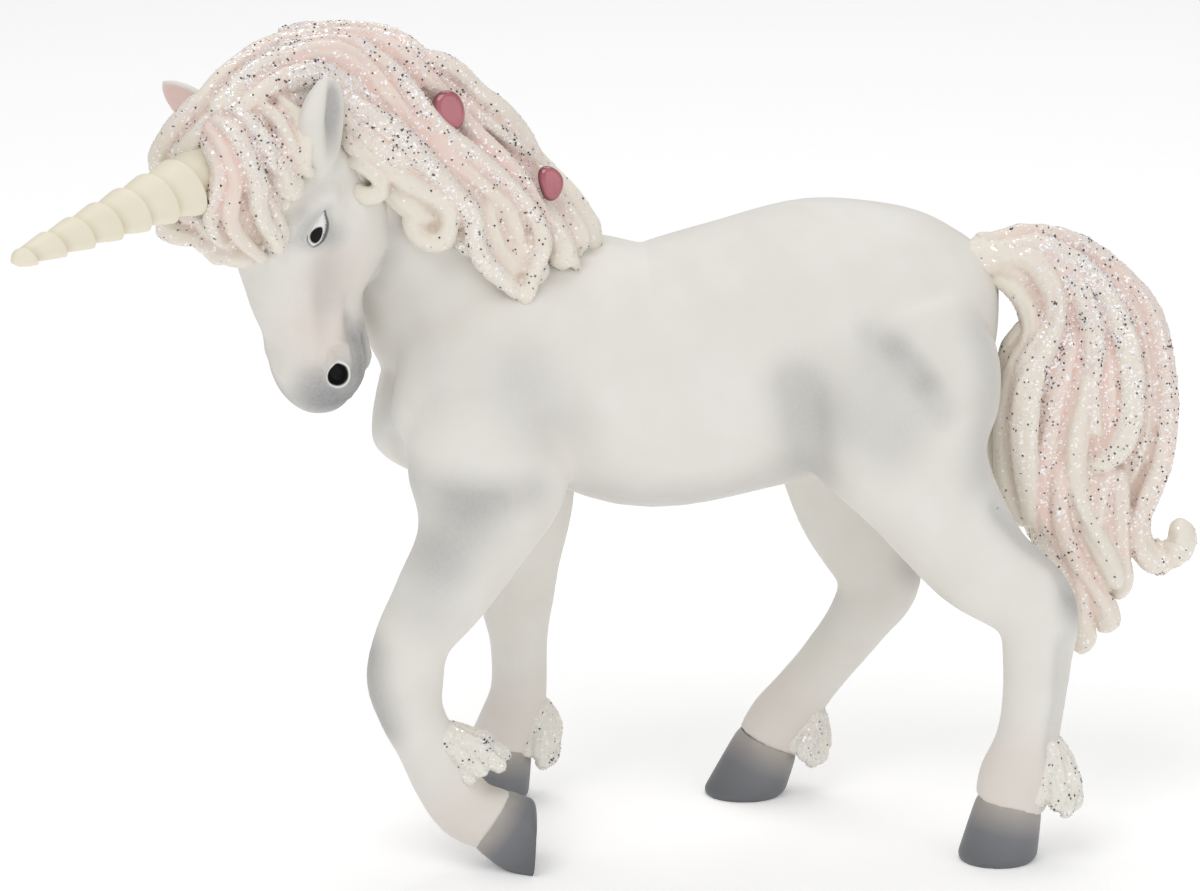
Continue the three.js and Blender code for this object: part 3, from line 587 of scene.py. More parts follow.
# %% [markdown]
# The face needs a finer mesh than the barrel. The faces of the head are subdivided once, and those
# round the eyes, the nostrils and the mouth a second time, so that a lid only half a millimetre
# thick still has a few rows of points.

# %% Finer mesh on the face
EYE_MIDDLE = (8.6, 2.3)  # down and out on the head, in mm
NOSTRIL = (25.65, 2.3)
MOUTH = [(23.2, -2.5), (25, -2.4), (26.6, -2.3), (28.2, -1.9), (29.4, -1.1)]
FACE_TOP, FACE_END, FACE_BACK, FACE_SIDE = 1, 33, -8, 9  # down, down, out and left, in mm
FEATURE_REACH = 3.4
MOUTH_REACH = 1.2
MIDLINE = 1


def head_places(points):
    """Down, out and left on the head, in mm."""
    return (points - POLL) @ np.stack([head_down, head_out, head_left], axis=1)


def refine(piece, chosen):
    """Subdivides the faces whose middles, as head places, are chosen."""
    select_faces(piece, lambda middles: chosen(head_places(middles)))
    bpy.ops.mesh.subdivide(number_cuts=1)
    bpy.ops.object.mode_set(mode="OBJECT")


def on_face(place):
    down, out, left = place.T
    return (down > FACE_TOP) & (down < FACE_END) & (out > FACE_BACK) & (np.abs(left) < FACE_SIDE)


def at_features(place):
    flat = place[:, :2]
    eye = np.linalg.norm(flat - EYE_MIDDLE, axis=1) < FEATURE_REACH
    nostril = np.linalg.norm(flat - NOSTRIL, axis=1) < FEATURE_REACH
    mouth = near(flat, MOUTH) < MOUTH_REACH
    return on_face(place) & (eye | nostril | mouth) & (np.abs(place[:, 2]) > MIDLINE)


refine(head_skin, on_face)
weigh(head_skin, "face", on_face(head_places(points_of(head_skin))).astype(float))
relax(head_skin, 4, "face")
refine(head_skin, at_features)
print("skin faces with the finer face:", len(head_skin.data.polygons))

# %% [markdown]
# The face is modelled from the photograph: a flat cheek with a sharp back edge, a hollow below the
# eye, a ridge along the nose, a flared nostril and a tight mouth. The strokes are dropped onto the
# skin from the side of the head. Both sides get the same strokes, since the mould is symmetrical
# there.

# %% Forms of the face
FACE_STROKES = [
    ([(10, -3.6), (13.4, -4.2)], 5.4, 0.55),  # cheek
    ([(6.6, -11.2), (11, -12), (15, -9.4), (18, -6.4)], 2.2, 0.35),  # back edge of the jaw
    ([(13, 1.6), (16.5, 2)], 3.0, -0.5),  # hollow below the eye
    ([(15.4, 3.9), (19, 4), (23.2, 4.3)], 1.7, 0.35),  # bone of the nose
    ([(17.6, 0.7), (19.6, 1), (21.6, 1.4)], 1.3, 0.3),  # ridge to the nostril
    ([(19.4, -0.6), (22.2, -0.6)], 1.3, -0.35),
    ([(5.2, 0.2), (6.1, 2.5), (7.4, 4.3)], 1.7, 0.5),  # brow
    ([(5, -2.6), (7.6, -1.8)], 2.2, -0.35),  # temple
    ([(27.6, 0.6), (28.6, 2.6)], 2.4, 0.4),  # upper lip
    ([(28.2, -3.2), (26.6, -3.8)], 1.6, 0.3),  # lower lip
]
BESIDE_HEAD = 25  # a ray starts this far from the middle of the head, in mm


def on_cheek(tree, sign, line):
    """A line of (down, out), dropped onto one side of the head."""
    starts = [on_head(down, out, sign * BESIDE_HEAD) for down, out in line]
    return dropped(tree, starts, -sign * head_left)


def both_sides(rows):
    return [(BOTH, *row) for row in rows]


sculpt(head_skin, both_sides(FACE_STROKES), on_cheek)
relax(head_skin, 3, "face")
print("face strokes:", len(FACE_STROKES))

# %% [markdown]
# The lids are a raised rim round a teardrop, with a crease above the upper one and the eyeball
# domed inside. The nostril is a pit with a raised rim and a comma-shaped flare above it, and the
# mouth is a narrow groove.

# %% Eyes, nostrils and mouth
EYE_TILT = math.radians(23)
EYE_UPPER_LENGTH, EYE_LOWER_LENGTH, EYE_HALF_HEIGHT = 2.1, 1.8, 0.82
EYE_POINTED, EYE_ROUNDED, EYE_REACH = 1.7, 4, 4
LID, CREASE, RIM, LIP = (0.36, 0.42), (1.15, 0.5), (1.3, 0.5), (0.75, 0.5)  # middle and reach
UPPER_LID, LOWER_LID, LID_LENGTH = 0.42, 0.3, 3.4
UPPER_CREASE, LOWER_CREASE, CREASE_LENGTH = -0.2, -0.06, 2.8
BALL_HEIGHT, BALL_SUNK = 0.42, 0.18
NOSTRIL_RADIUS, NOSTRIL_STRETCH, NOSTRIL_REACH = 1.02, 1.12, 5
PIT_DEPTH, RIM_HEIGHT, MOUTH_DEPTH, LIP_HEIGHT = 0.7, 0.3, 0.55, 0.14
FLARE = [(24.4, 1.9), (23.1, 1.8)]
FLARE_RIM = [(25.1, 0.6), (23, 0.5), (21.9, 1.7), (22.6, 3), (24.2, 3.6)]
MOUTH_START, SIDE_FROM = 21, 2.5


def eye_measure(place):
    """Distance past the edge of the teardrop, and the places along and across it, in mm."""
    down = place[:, 0] - EYE_MIDDLE[0]
    out = place[:, 1] - EYE_MIDDLE[1]
    along = down * math.cos(EYE_TILT) + out * math.sin(EYE_TILT)
    across = out * math.cos(EYE_TILT) - down * math.sin(EYE_TILT)
    pointed = 1 - np.abs(along / EYE_UPPER_LENGTH) ** EYE_POINTED
    rounded = 1 - (along / EYE_LOWER_LENGTH) ** EYE_ROUNDED
    edge = np.abs(across) - EYE_HALF_HEIGHT * np.where(along < 0, pointed, rounded)
    return edge, along, across


def nostril_measure(place):
    """Distance from the middle of the nostril, which is longer down the face."""
    return np.hypot((place[:, 0] - NOSTRIL[0]) / NOSTRIL_STRETCH, place[:, 1] - NOSTRIL[1])


def on_sides(place):
    return on_face(place) & (np.abs(place[:, 2]) > SIDE_FROM)


points = points_of(head_skin)
place = head_places(points)
flat = place[:, :2]
edge, along, across = eye_measure(place)
lid = ridge(edge, *LID) * np.where(across > 0, UPPER_LID, LOWER_LID)
crease = ridge(edge, *CREASE) * np.where(across > 0, UPPER_CREASE, LOWER_CREASE)
dome = BALL_HEIGHT * np.sqrt(np.clip(-edge / EYE_HALF_HEIGHT, 0, 1)) - BALL_SUNK
eye = lid * fade(np.abs(along), LID_LENGTH) + crease * fade(np.abs(along), CREASE_LENGTH)
eye += np.where(edge < 0, dome, 0)
rise = np.where(on_sides(place) & (np.hypot(along, across) < EYE_REACH), eye, 0)

from_nostril = nostril_measure(place)
nostril = -PIT_DEPTH * np.clip(1 - (from_nostril / NOSTRIL_RADIUS) ** 4, 0, 1)
nostril += RIM_HEIGHT * ridge(from_nostril, *RIM)
nostril += 0.26 * fade(near(flat, FLARE_RIM), 0.7) - 0.34 * fade(near(flat, FLARE), 0.9)
rise += np.where(on_sides(place) & (from_nostril < NOSTRIL_REACH), nostril, 0)
mouth_line = near(flat, MOUTH)
at_mouth = on_face(place) & (np.abs(place[:, 2]) > 0.8) & (place[:, 0] > MOUTH_START)
lips = LIP_HEIGHT * ridge(mouth_line, *LIP) - MOUTH_DEPTH * fade(mouth_line, 0.5)
rise += np.where(at_mouth, lips, 0)
set_points(head_skin, points + normals_of(head_skin) * rise[:, None])
relax(head_skin, 1, "face", 0.3)
print("deepest and highest of the features in mm:", round(rise.min(), 2), round(rise.max(), 2))

# %% [markdown]
# The soft grey on the body and the face is partly the figure's own airbrush and partly painted
# shade in creases, hollows and grooves, under the belly and behind the jaw, and the eye and the
# nostril are touched in with a brush. All of it becomes a painted mask on the mesh: red for the
# grey of spray and painted shade, green for a blush of pink, blue for black paint and alpha for the
# white rims. The material mixes its colours by this mask.

# %% Airbrush and painted shade mask
# Grey on the body: partly the figure's own airbrush, partly painted shade in the creases and
# grooves, behind the jaw and under the belly.
SPRAY_AND_SHADE = [
    (NEAR_SIDE, [(28.4, 59.9), (31.2, 58.4)], 1.8, 0.14),
    (NEAR_SIDE, [(31, 58.6), (32.8, 56.8), (34.2, 55)], 2.0, 0.28),
    (NEAR_SIDE, [(34.2, 55), (36.2, 51.4)], 1.8, 0.18),
    (NEAR_SIDE, [(29.4, 57.4), (33, 53.4)], 5.2, 0.24),
    (NEAR_SIDE, [(-18.6, 63), (-18, 57)], 6, 0.12),
    (NEAR_SIDE, [(-22.6, 71.4), (-23.2, 68.6), (-24.6, 65.4)], 2.0, 0.3),
    (FAR_SIDE, [(27, 60), (31, 55.7), (35, 51.4)], 4.6, 0.42),
    (BOTH, [(21.1, 54.1), (22.1, 49.7), (22.8, 45)], 5.0, 0.4),
    (BOTH, [(25.6, 51.4), (30.2, 48.4)], 4.6, 0.26),
    (BOTH, [(-6.6, 51.2), (-9.3, 55.6)], 5.6, 0.24),
    (NEAR_SIDE, [(-21, 44), (-15, 42.4), (-8, 43)], 3.0, 0.3),
    (NEAR_SIDE, [(-15, 40.6), (-17.6, 37.4)], 5.2, 0.46),
    (NEAR_SIDE, [(-18.6, 34), (-19.4, 31)], 4.4, 0.25),
    (NEAR_SIDE, [(-25.6, 24.6), (-25.4, 20.5), (-24.4, 17.1)], 3.2, 0.6),
    (FAR_SIDE, [(-13, 24), (-12.6, 20)], 3.4, 0.6),
    (NEAR_SIDE, [(42.6, 39.9), (45.2, 36.7), (49.1, 33.3), (50.3, 30.5)], 2.6, 0.4),
    (NEAR_SIDE, [(50.6, 32), (51.2, 29)], 3.0, 0.5),
    (FAR_SIDE, [(37, 30), (36.4, 27)], 3.2, 0.45),
    (NEAR_SIDE, [(49.6, 25.6), (49.3, 18.8), (48.8, 11.9)], 1.6, 0.22),
    (BOTH, [(40.6, 59.5), (41.2, 51.7), (40.6, 44.1)], 3.4, 0.3),
    (BOTH, [(-22.4, 55.4), (-22.6, 48)], 2.6, 0.16),
    (BOTH, [(0, 41), (12, 41), (20, 43)], 5.0, 0.26),
]  # sides, line of x and z, reach, strength
SPRAY_AND_SHADE_SPREAD = 1.35
ANKLE_BLUSH = {"fore_leg_left": 7.2, "fore_leg_right": 8.1, "hind_leg_left": 9, "hind_leg_right": 9}
ANKLE_STRENGTH = 0.85


def lay(mask, amount):
    """Lays one more coat of spray over a mask."""
    return mask + amount * (1 - mask)


def sprayed(piece, rows, drop, spread=1.0):
    """A mask with every row of spray laid over the ones before it."""
    points = points_of(piece)
    mask = np.zeros(len(points))
    for path, reach, strength in stroke_paths(piece, rows, drop):
        mask = lay(mask, strength * fade(near(points, path), reach * spread))
    return mask


# The grey of the airbrush and of the painted shade on the body.
grey = sprayed(skin, SPRAY_AND_SHADE, on_side, SPRAY_AND_SHADE_SPREAD)
points = points_of(skin)
blush = np.zeros(len(points))
for name, reach in ANKLE_BLUSH.items():
    ankle = leg_rows(name)[-2][:3]
    blush = lay(blush, ANKLE_STRENGTH * fade(near(points, ankle), reach))
store(skin, "airbrush_and_shade", grey, blush)
print("sprayed points on the body:", int((grey > 0.1).sum()))

# %% Spray, painted shade and brushwork on the face
# Grey on the face: the painted muzzle and the grey round the eye, with painted shade in the hollow
# below the eye, the grooves by the nostril and along the lower jaw.
FACE_SPRAY_AND_SHADE = [
    ([(28.8, 3), (29.4, 0), (28.2, -3.2)], 6.3, 1.0),
    ([(26.4, -0.8), (23.6, -1.8)], 4, 0.85),
    ([(26, 4.4), (28, 4.6)], 3.6, 0.4),
    ([(7, 1.6), (9.6, 3)], 2.0, 0.35),
    ([(8.6, 2.4)], 3.6, 0.3),
    ([(9.8, 0.8)], 2.8, 0.45),
    ([(7, 3.6), (9, 4.6)], 2.2, 0.25),
    ([(13, 1.4), (17, 1.6)], 3.6, 0.22),
    ([(20.4, -0.5), (22.8, -0.9)], 1.8, 0.4),
    ([(16, -6.6), (19, -4.6), (22, -3.6)], 2.4, 0.25),
]
BLUSH = [
    ([(14, 1)], 6, 0.7), ([(19, 3.4)], 6, 0.75), ([(12, -3)], 5, 0.12), ([(22, 1.4)], 4.5, 0.6),
    ([(24.5, 4)], 4, 0.5),
]
PUPIL_SHIFT, PUPIL_HALF_HEIGHT, PUPIL_SOFT = 0.5, 0.68, 0.12
LINER, RING = (0.1, 0.19), (1.24, 0.15)  # middle and reach
LINER_STRENGTH, LINER_LENGTH, RING_STRENGTH = 0.8, 3.2, 0.9
NOSTRIL_EDGE, NOSTRIL_SOFT, WHITE_EDGE, WHITE_SOFT = 0.12, 0.08, 0.05, 0.06
MOUTH_GREY, MOUTH_GREY_REACH = 0.95, 0.55

# The grey of the muzzle and eye paint, and of the painted shade in the face's hollows.
grey = sprayed(head_skin, both_sides(FACE_SPRAY_AND_SHADE), on_cheek)
blush = sprayed(head_skin, both_sides(BLUSH), on_cheek)
place = head_places(points_of(head_skin))
edge, along, across = eye_measure(place)
from_nostril = nostril_measure(place)
sides = on_sides(place)
pupil = np.hypot(along - PUPIL_SHIFT, across / PUPIL_HALF_HEIGHT)
liner = LINER_STRENGTH * ridge(edge, *LINER) * np.clip(LINER_LENGTH - np.abs(along), 0, 1)
pit = np.clip((NOSTRIL_RADIUS + NOSTRIL_EDGE - from_nostril) / NOSTRIL_SOFT, 0, 1)
black = np.where(sides & (edge < 0), np.clip((1 - pupil) / PUPIL_SOFT, 0, 1), 0)
black = np.maximum(black, np.where(sides, pit, 0))
black = np.maximum(black, np.where(sides & (edge > 0) & (np.hypot(along, across) < 3), liner, 0))
eye_white = np.clip((WHITE_EDGE - edge) / WHITE_SOFT, 0, 1)
ring = RING_STRENGTH * ridge(from_nostril, *RING)
white = np.where(sides, np.maximum(eye_white, ring), 0)
lips = MOUTH_GREY * fade(near(place[:, :2], MOUTH), MOUTH_GREY_REACH)
grey = np.maximum(grey, np.where(on_face(place) & (place[:, 0] > MOUTH_START), lips, 0))
store(head_skin, "airbrush_and_shade", grey, blush, black, white)
print("sprayed points on the face:", int((grey > 0.1).sum()), "black:", int((black > 0.5).sum()))

# %% [markdown]
# Now the skin is parted where the mouldings meet, at the top of each leg. A bisect cuts the faces
# round the seam, the piece beyond is separated, and both cut ends are filled. The cut edges are
# marked sharp, so the shading runs over the joint as it does on the glued and painted figure.

# %% Part the skin at the seams
SEAMS = {
    "fore_leg_left": 0.19, "fore_leg_right": 0.22, "hind_leg_left": 0.36, "hind_leg_right": 0.36,
}  # share of the way down the leg
SEAM_REACH = 10
LEG_REACH = 9.5


def close_cut(piece):
    """Fills the open end of a piece and keeps its edge sharp."""
    pick(piece)
    bpy.ops.object.mode_set(mode="EDIT")
    bpy.ops.mesh.select_mode(type="EDGE")
    bpy.ops.mesh.select_all(action="DESELECT")
    bpy.ops.mesh.select_non_manifold(
        extend=False, use_wire=False, use_multi_face=False, use_non_contiguous=False,
        use_verts=False)
    bpy.ops.mesh.mark_sharp()
    bpy.ops.mesh.fill_holes(sides=0)
    face_outward()


def part_off(piece, name, where, normal, beyond):
    """Cuts round a seam, separates what is beyond it and returns that as a new object."""
    select_faces(piece, lambda middles: near(middles, where) < SEAM_REACH)
    bpy.ops.mesh.bisect(plane_co=at(*where), plane_no=normal, use_fill=False)
    select_faces(piece, beyond)
    bpy.ops.mesh.separate(type="SELECTED")
    bpy.ops.object.mode_set(mode="OBJECT")
    made = [o for o in bpy.context.selected_objects if o is not piece][0]
    made.name = name
    return made


pieces = {}
for name, share in SEAMS.items():
    centres, _, _, alongs, _, _ = fine_run(leg_rows(name))
    spot = spot_at(share)
    where, normal, spine = centres[spot], alongs[spot], centres[spot:]
    pieces[name] = part_off(
        skin, name + "_skin", where, normal,
        lambda middles: ((middles - where) @ normal > 0) & (near(middles, spine) < LEG_REACH))
pieces["torso"] = skin
for piece in pieces.values():
    close_cut(piece)
pieces["head"] = head_skin
for piece in pieces.values():
    shade_smooth(piece)
print("parted:", {name: len(piece.data.polygons) for name, piece in pieces.items()})

# %% [markdown]
# The ears are leaves with a hollow on the outer side. Each is a loft that swells and narrows to a
# point, and the hollow is pressed in where the surface faces outward, deepest along the middle. The
# mask paints the near ear's hollow grey as painted shade, and the far ear's hollow pink.

# %% Ears
EAR_HALF_WIDTH = 2.85
EAR_FLATNESS = 0.8
EAR_BOW = 0.9
# painted shade in the near ear's hollow
EAR_HOLLOW_SHADE = 0.62
HOLLOW_DEPTH = 0.8
HOLLOW_ALONG = ([0.2, 0.44, 0.62, 0.88, 1], [0, 0.6, 1, 0.65, 0])
EAR_LEAF = [
    (0, 0.36, 0.4), (0.15, 0.7, 0.7), (0.32, 0.95, 0.84), (0.6, 1, 0.7), (0.8, 0.82, 0.52),
    (0.93, 0.46, 0.3), (1, 0.08, 0.06),
]  # share of the length, and the half width and half depth there
EARS = {
    "ear_left": (13.1, (3.4, 0.3, 5.4), (-1, 0.02, 0.33), (0.1, 0.1, 1), 0, 0.36, 0.6),
    "ear_right": (11.8, (3, 0.6, -6), (-0.84, 0.29, -0.46), (0.2, 1, 0.1), 1, 0.05, 1.05),
}  # length; root, lean and the way the hollow faces, as down, out and left; the hollow's pink, its
# shift to one side and its share of the width


def head_way(down, out, left):
    return unit(head_down * down + head_out * out + head_left * left)


for name, (length, seat, lean, opening, pink, shift, reach) in EARS.items():
    root = on_head(*seat)
    axis = head_way(*lean)
    facing_out = head_way(*opening)
    facing_out = unit(facing_out - axis * (facing_out @ axis))
    across_ear = np.cross(axis, facing_out)
    rows = []
    for share, wide, deep in EAR_LEAF:
        centre = root + axis * (share * length) + facing_out * (EAR_BOW * share * share)
        half_depth = deep * EAR_HALF_WIDTH * EAR_FLATNESS
        rows.append((*centre, wide * EAR_HALF_WIDTH, half_depth, *across_ear))
    ear = loft(name + "_leaf", rows, around=32, steps=48)
    points = points_of(ear)
    up_ear = (points - root) @ axis / length
    half_width = read_off(EAR_LEAF, up_ear) * EAR_HALF_WIDTH
    half_depth = read_off(EAR_LEAF, up_ear, 2) * EAR_HALF_WIDTH
    off_middle = ((points - root) @ across_ear / np.maximum(half_width, 0.1) - shift) / reach
    hollow = np.clip(normals_of(ear) @ facing_out, 0, 1) * np.clip(1.06 - off_middle**2, 0, 1)
    hollow *= np.interp(up_ear, *HOLLOW_ALONG)
    set_points(ear, points - facing_out * (hollow * half_depth * HOLLOW_DEPTH)[:, None])
    relax(ear, 2, factor=0.3)
    # Painted shade: the near ear's hollow goes grey; the far ear's hollow is painted pink.
    inner = np.clip(hollow * (1.5 + 4 * pink), 0, 1)
    store(ear, "airbrush_and_shade", inner * EAR_HOLLOW_SHADE * (1 - pink), inner * pink)
    shade_smooth(ear)
    pieces[name] = ear
print("ears:", [pieces[name].name for name in EARS])

# %% [markdown]
# The horn is one ridge wound round a cone. Its section is a circle whose radius falls slowly and
# then jumps back at one place, so when the section turns as it goes along, the jump becomes a sharp
# overlapping edge that winds upward.

# %% Horn
HORN_LENGTH = 32.2
HORN_TURNS = 9.6
HORN_STEP = 0.25
HORN_FALL = 1.35
HORN_RAKE = math.radians(2.5)
HORN_RADIUS = [
    (-0.06, 4.3), (0, 4.2), (0.3, 3.3), (0.6, 2.4), (0.85, 1.6), (0.95, 1.2), (0.985, 0.8),
    (1, 0.25),
]  # share of the length and the radius there
horn_foot = on_head(0.4, 5, 0)
horn_axis = head_way(-math.tan(HORN_RAKE), 1, 0)
horn_rows = []
for share in np.linspace(HORN_RADIUS[0][0], 1, 60):
    radius = read_off(HORN_RADIUS, share)
    horn_rows.append((*(horn_foot + horn_axis * (share * HORN_LENGTH)), radius, radius, *head_left))


def wound_ring(angle):
    """Full radius at the edge of a turn, less and less after it."""
    return 1 - HORN_STEP * (angle / (2 * math.pi)) ** HORN_FALL


horn = loft("horn_wound", horn_rows, around=72, steps=240, ring=wound_ring, twist=HORN_TURNS)
pick(horn)
bpy.ops.object.shade_smooth_by_angle(angle=math.radians(50))
off_foot = points_of(horn) - horn_foot
along_horn = off_foot @ horn_axis / HORN_LENGTH
from_axis = np.linalg.norm(off_foot - np.outer(along_horn * HORN_LENGTH, horn_axis), axis=1)
# A mask for the painted shade in the groove after each edge of the horn.
groove = np.clip((1 - from_axis / read_off(HORN_RADIUS, along_horn)) / HORN_STEP, 0, 1)
store(horn, "relief", groove)
pieces["horn"] = horn
print("horn faces:", len(horn.data.polygons))

# %% [markdown]
# Hooves are short cones, wider at the sole. Each runs from the end of its leg to the middle of the
# sole, and a bisect at the ground cuts them level, so all four stand flat. The bent leg's sole
# stands almost upright behind its toe.

# %% Hooves
HOOF_SOLES = {
    "fore_hoof_left": ("fore_leg_left", (-7.9, 2.4), (1, -0.06), 4.5, 1.2, 1.3),
    "fore_hoof_right": ("fore_leg_right", (-12.2, -1.4), (-0.2, -1), 4.5, 0.5, 0),
    "hind_hoof_left": ("hind_leg_left", (43, -1.4), (-0.15, -1), 4.5, 0.5, 0),
    "hind_hoof_right": ("hind_leg_right", (16.6, -1.4), (-0.4, -1), 4.5, 0.5, 0),
}  # leg, middle of the sole, the way it faces, its half length, how far the leg is sunk in,
# rounding of the heel
CORONET_RADIUS = 3.55
CORONET_DRAWN_IN = 0.96
SOLE_HALF_WIDTH = 4.3
SOLE_ROUNDING, SOLE_EDGE = 0.1, 0.9
HOOF_FLARE = 0.8
HOOF_SHARES = (0, 0.12, 0.35, 0.65, 0.9, 1)
HEEL_START, HEEL_SPAN, HEEL_LOW, HEEL_RISE = 0.55, 0.45, 2, 2.5
GROUND = 0.01 * MM


def share_between(points, start, end):
    """How far each point is on the way from start to end, from 0 to 1."""
    return np.clip((points - start) @ unit(end - start) / np.linalg.norm(end - start), 0, 1)


for name, (leg, sole, sole_way, half_length, sunk, heel) in HOOF_SOLES.items():
    rows = leg_rows(leg)
    top, end = np.array(rows[-2])[:3], np.array(rows[-1])[:3]
    low = np.array((sole[0], end[1], sole[1]))
    start = end - unit(end - top) * sunk
    hoof_rows = []
    for share in HOOF_SHARES:
        swell = 1 if share else CORONET_DRAWN_IN
        wide, deep = (
            (CORONET_RADIUS + (half - CORONET_RADIUS) * share**HOOF_FLARE) * swell
            for half in (SOLE_HALF_WIDTH, half_length))
        hoof_rows.append((*(start + (low - start) * share), wide, deep, *LEFT))
    hoof = loft(name + "_shell", hoof_rows, around=48, steps=36)
    points = points_of(hoof)
    axis = unit(low - start)
    down_hoof = share_between(points, start, low)
    facing_sole = unit(np.array((sole_way[0], 0, sole_way[1])))
    flat_ring = points - low - np.outer((points - low) @ axis, axis)
    slide = -(flat_ring @ facing_sole) / (axis @ facing_sole)
    points = points + np.outer(slide * down_hoof**2, axis)
    at_sole = np.clip((down_hoof - HEEL_START) / HEEL_SPAN, 0, 1) ** 2
    points[:, 2] -= heel * at_sole * np.clip((points[:, 2] - low[2] - HEEL_LOW) / HEEL_RISE, 0, 1)
    set_points(hoof, points)
    pick(hoof)
    bpy.ops.object.mode_set(mode="EDIT")
    bpy.ops.mesh.select_all(action="SELECT")
    bpy.ops.mesh.bisect(
        plane_co=(0, 0, GROUND), plane_no=(0, 0, 1), use_fill=True, clear_inner=True)
    face_outward()
    points = points_of(hoof)
    to_middle = points[points[:, 2] < 0.1].mean(axis=0) - points
    drawn_in = SOLE_ROUNDING * np.clip(1 - points[:, 2] / SOLE_EDGE, 0, 1) ** 2
    points[:, :2] += to_middle[:, :2] * drawn_in[:, None]
    set_points(hoof, points)
    store(hoof, "relief", share_between(points, start, low))
    bpy.ops.object.shade_smooth_by_angle(angle=math.radians(38))
    pieces[name] = hoof
print("hooves:", len(HOOF_SOLES))

# %% [markdown]
# Hair on a moulded figure is made of thick locks that taper to a point. Each lock here is two or
# three strands side by side, which draw together at the tip, and each strand is a loft with a
# softly lobed section. A seeded generator varies the strands. Each lock also says how pink it is,
# how much glitter it carries and how pale its paint starts.

# %% Strands of hair
rng = np.random.default_rng(11)
STRAND_STEPS = 30
STRAND_SIDES = 14
TAPER = ([0, 0.1, 0.45, 0.8, 0.93, 0.98, 1], [0.75, 0.95, 1, 0.93, 0.74, 0.5, 0.25])
SET_IN = 0.3
strands = {}  # for each piece of hair, its forms and the marks to paint them by


def lobed_ring(angle):
    return 1 + 0.05 * math.cos(4 * angle) + 0.03 * math.cos(7 * angle + 1)


def add_lock(piece, path, outs, width, count=1, depth=0.85, rosy=0.4, glitter=0.6, pale=0.0,
             tip=1.0):
    """Adds strands to a piece of hair, along a path in mm that stands out from the skin."""
    forms, marks = strands.setdefault(piece, ([], []))
    run = smooth_run(np.hstack([path, outs]), STRAND_STEPS)
    spine, out = run[:, :3], unit(run[:, 3:])
    along = unit(np.gradient(spine, axis=0))
    side = unit(np.cross(along, out))
    share = np.linspace(0, 1, STRAND_STEPS)[:, None]
    drawn = 1 - 0.8 * share**2.2
    for k in range(count):
        lean = 0 if count == 1 else 2 * k / (count - 1) - 1
        wave = 0.1 * np.sin(2 * math.pi * (rng.uniform(0.8, 1.5) * share + rng.uniform()))
        line = spine + side * width * (0.5 * lean * drawn + wave)
        line = line + out * width * rng.uniform(-0.14, 0.14)
        girth = width * rng.uniform(0.58, 0.68) * (1 if count > 1 else 1.5)
        girth = girth * np.interp(share, *TAPER) * (1 - (1 - tip) * share**1.6)
        rows = np.hstack([line, girth, girth * depth, side])
        forms.append(loft(f"{piece}_{len(forms)}", rows, STRAND_SIDES, STRAND_STEPS, lobed_ring))
        dusted = np.clip(glitter * rng.uniform(0.5, 1.3), 0.03, 1)
        blushed = rosy * rng.uniform(0.7, 1.2)
        marks.append((line, girth[:, 0], side, np.cross(side, along), blushed, dusted, pale))


def away_from(places, line):
    """The way out from a line at each place."""
    samples = smooth_run(line, 80)
    gaps = np.linalg.norm(places[:, None] - samples[None], axis=2)
    return unit(places - samples[np.argmin(gaps, axis=1)] + np.array((0.01, 0, 0)))


def plain_locks(piece, rows, count, place, least_glitter=0.4):
    """Locks of a half width along a line, with their pink and glitter drawn by chance."""
    for width, line in rows:
        path, outs = place(line)
        add_lock(piece, path, outs, width, count, rosy=rng.uniform(0.3, 0.9),
                 glitter=rng.uniform(least_glitter, 1))


def seen_locks(piece, rows, core):
    """Locks that the photograph shows one by one, set a little into the hair round the core."""
    for width, tip, rosy, glitter, pale, line in rows:
        path = np.array(line, float)
        outs = away_from(path, core)
        add_lock(piece, path - outs * width * SET_IN, outs, width, rosy=rosy, glitter=glitter,
                 pale=pale, tip=tip)


print("rows in each strand:", STRAND_STEPS)

# %% [markdown]
# The mane has two layers. The under layer follows the neck on both sides and closes the form. The
# upper layer is the set of locks that show from the left, followed one by one: they leave the
# parting at the poll, sweep over the crest and end in points and open curls on the neck. The pale
# curls lie by the cheek and carry hardly any glitter.

# %% Mane
UNDER_MANE = [
    (2.9, [(1, -6), (0.87, -6), (0.72, -4), (0.56, -3), (0.4, 0), (0.26, 6), (0.12, 12)]),
    (2.7, [(1, 14), (0.86, 16), (0.72, 20), (0.56, 19), (0.4, 15), (0.26, 22), (0.16, 28)]),
    (2.6, [(1, 34), (0.84, 40), (0.7, 46), (0.55, 44), (0.4, 32), (0.28, 36), (0.17, 44)]),
    (2.4, [(1, 54), (0.84, 66), (0.64, 68), (0.44, 56), (0.3, 54), (0.21, 62)]),
    (2.2, [(1, 72), (0.84, 86), (0.66, 79), (0.5, 72), (0.38, 72)]),
    (1.7, [(0.94, 82), (0.84, 88), (0.72, 86), (0.6, 80), (0.52, 76)]),
]
FAR_MANE = [
    (2.2, [(1, -22), (0.84, -24), (0.68, -26), (0.52, -24), (0.36, -22), (0.2, -24), (0.11, -22)]),
    (2.2, [(1, -36), (0.84, -42), (0.66, -45), (0.5, -44), (0.34, -42), (0.19, -48)]),
    (2.1, [(1, -52), (0.84, -60), (0.66, -62), (0.5, -60), (0.36, -62), (0.22, -58)]),
    (2.0, [(1, -66), (0.84, -76), (0.66, -80), (0.5, -78), (0.37, -84), (0.3, -78)]),
    (1.9, [(1, -80), (0.84, -92), (0.68, -97), (0.55, -94), (0.47, -102), (0.53, -109),
           (0.6, -106)]),
]  # half width and the line of a lock: share up the neck, degrees from the crest to the left
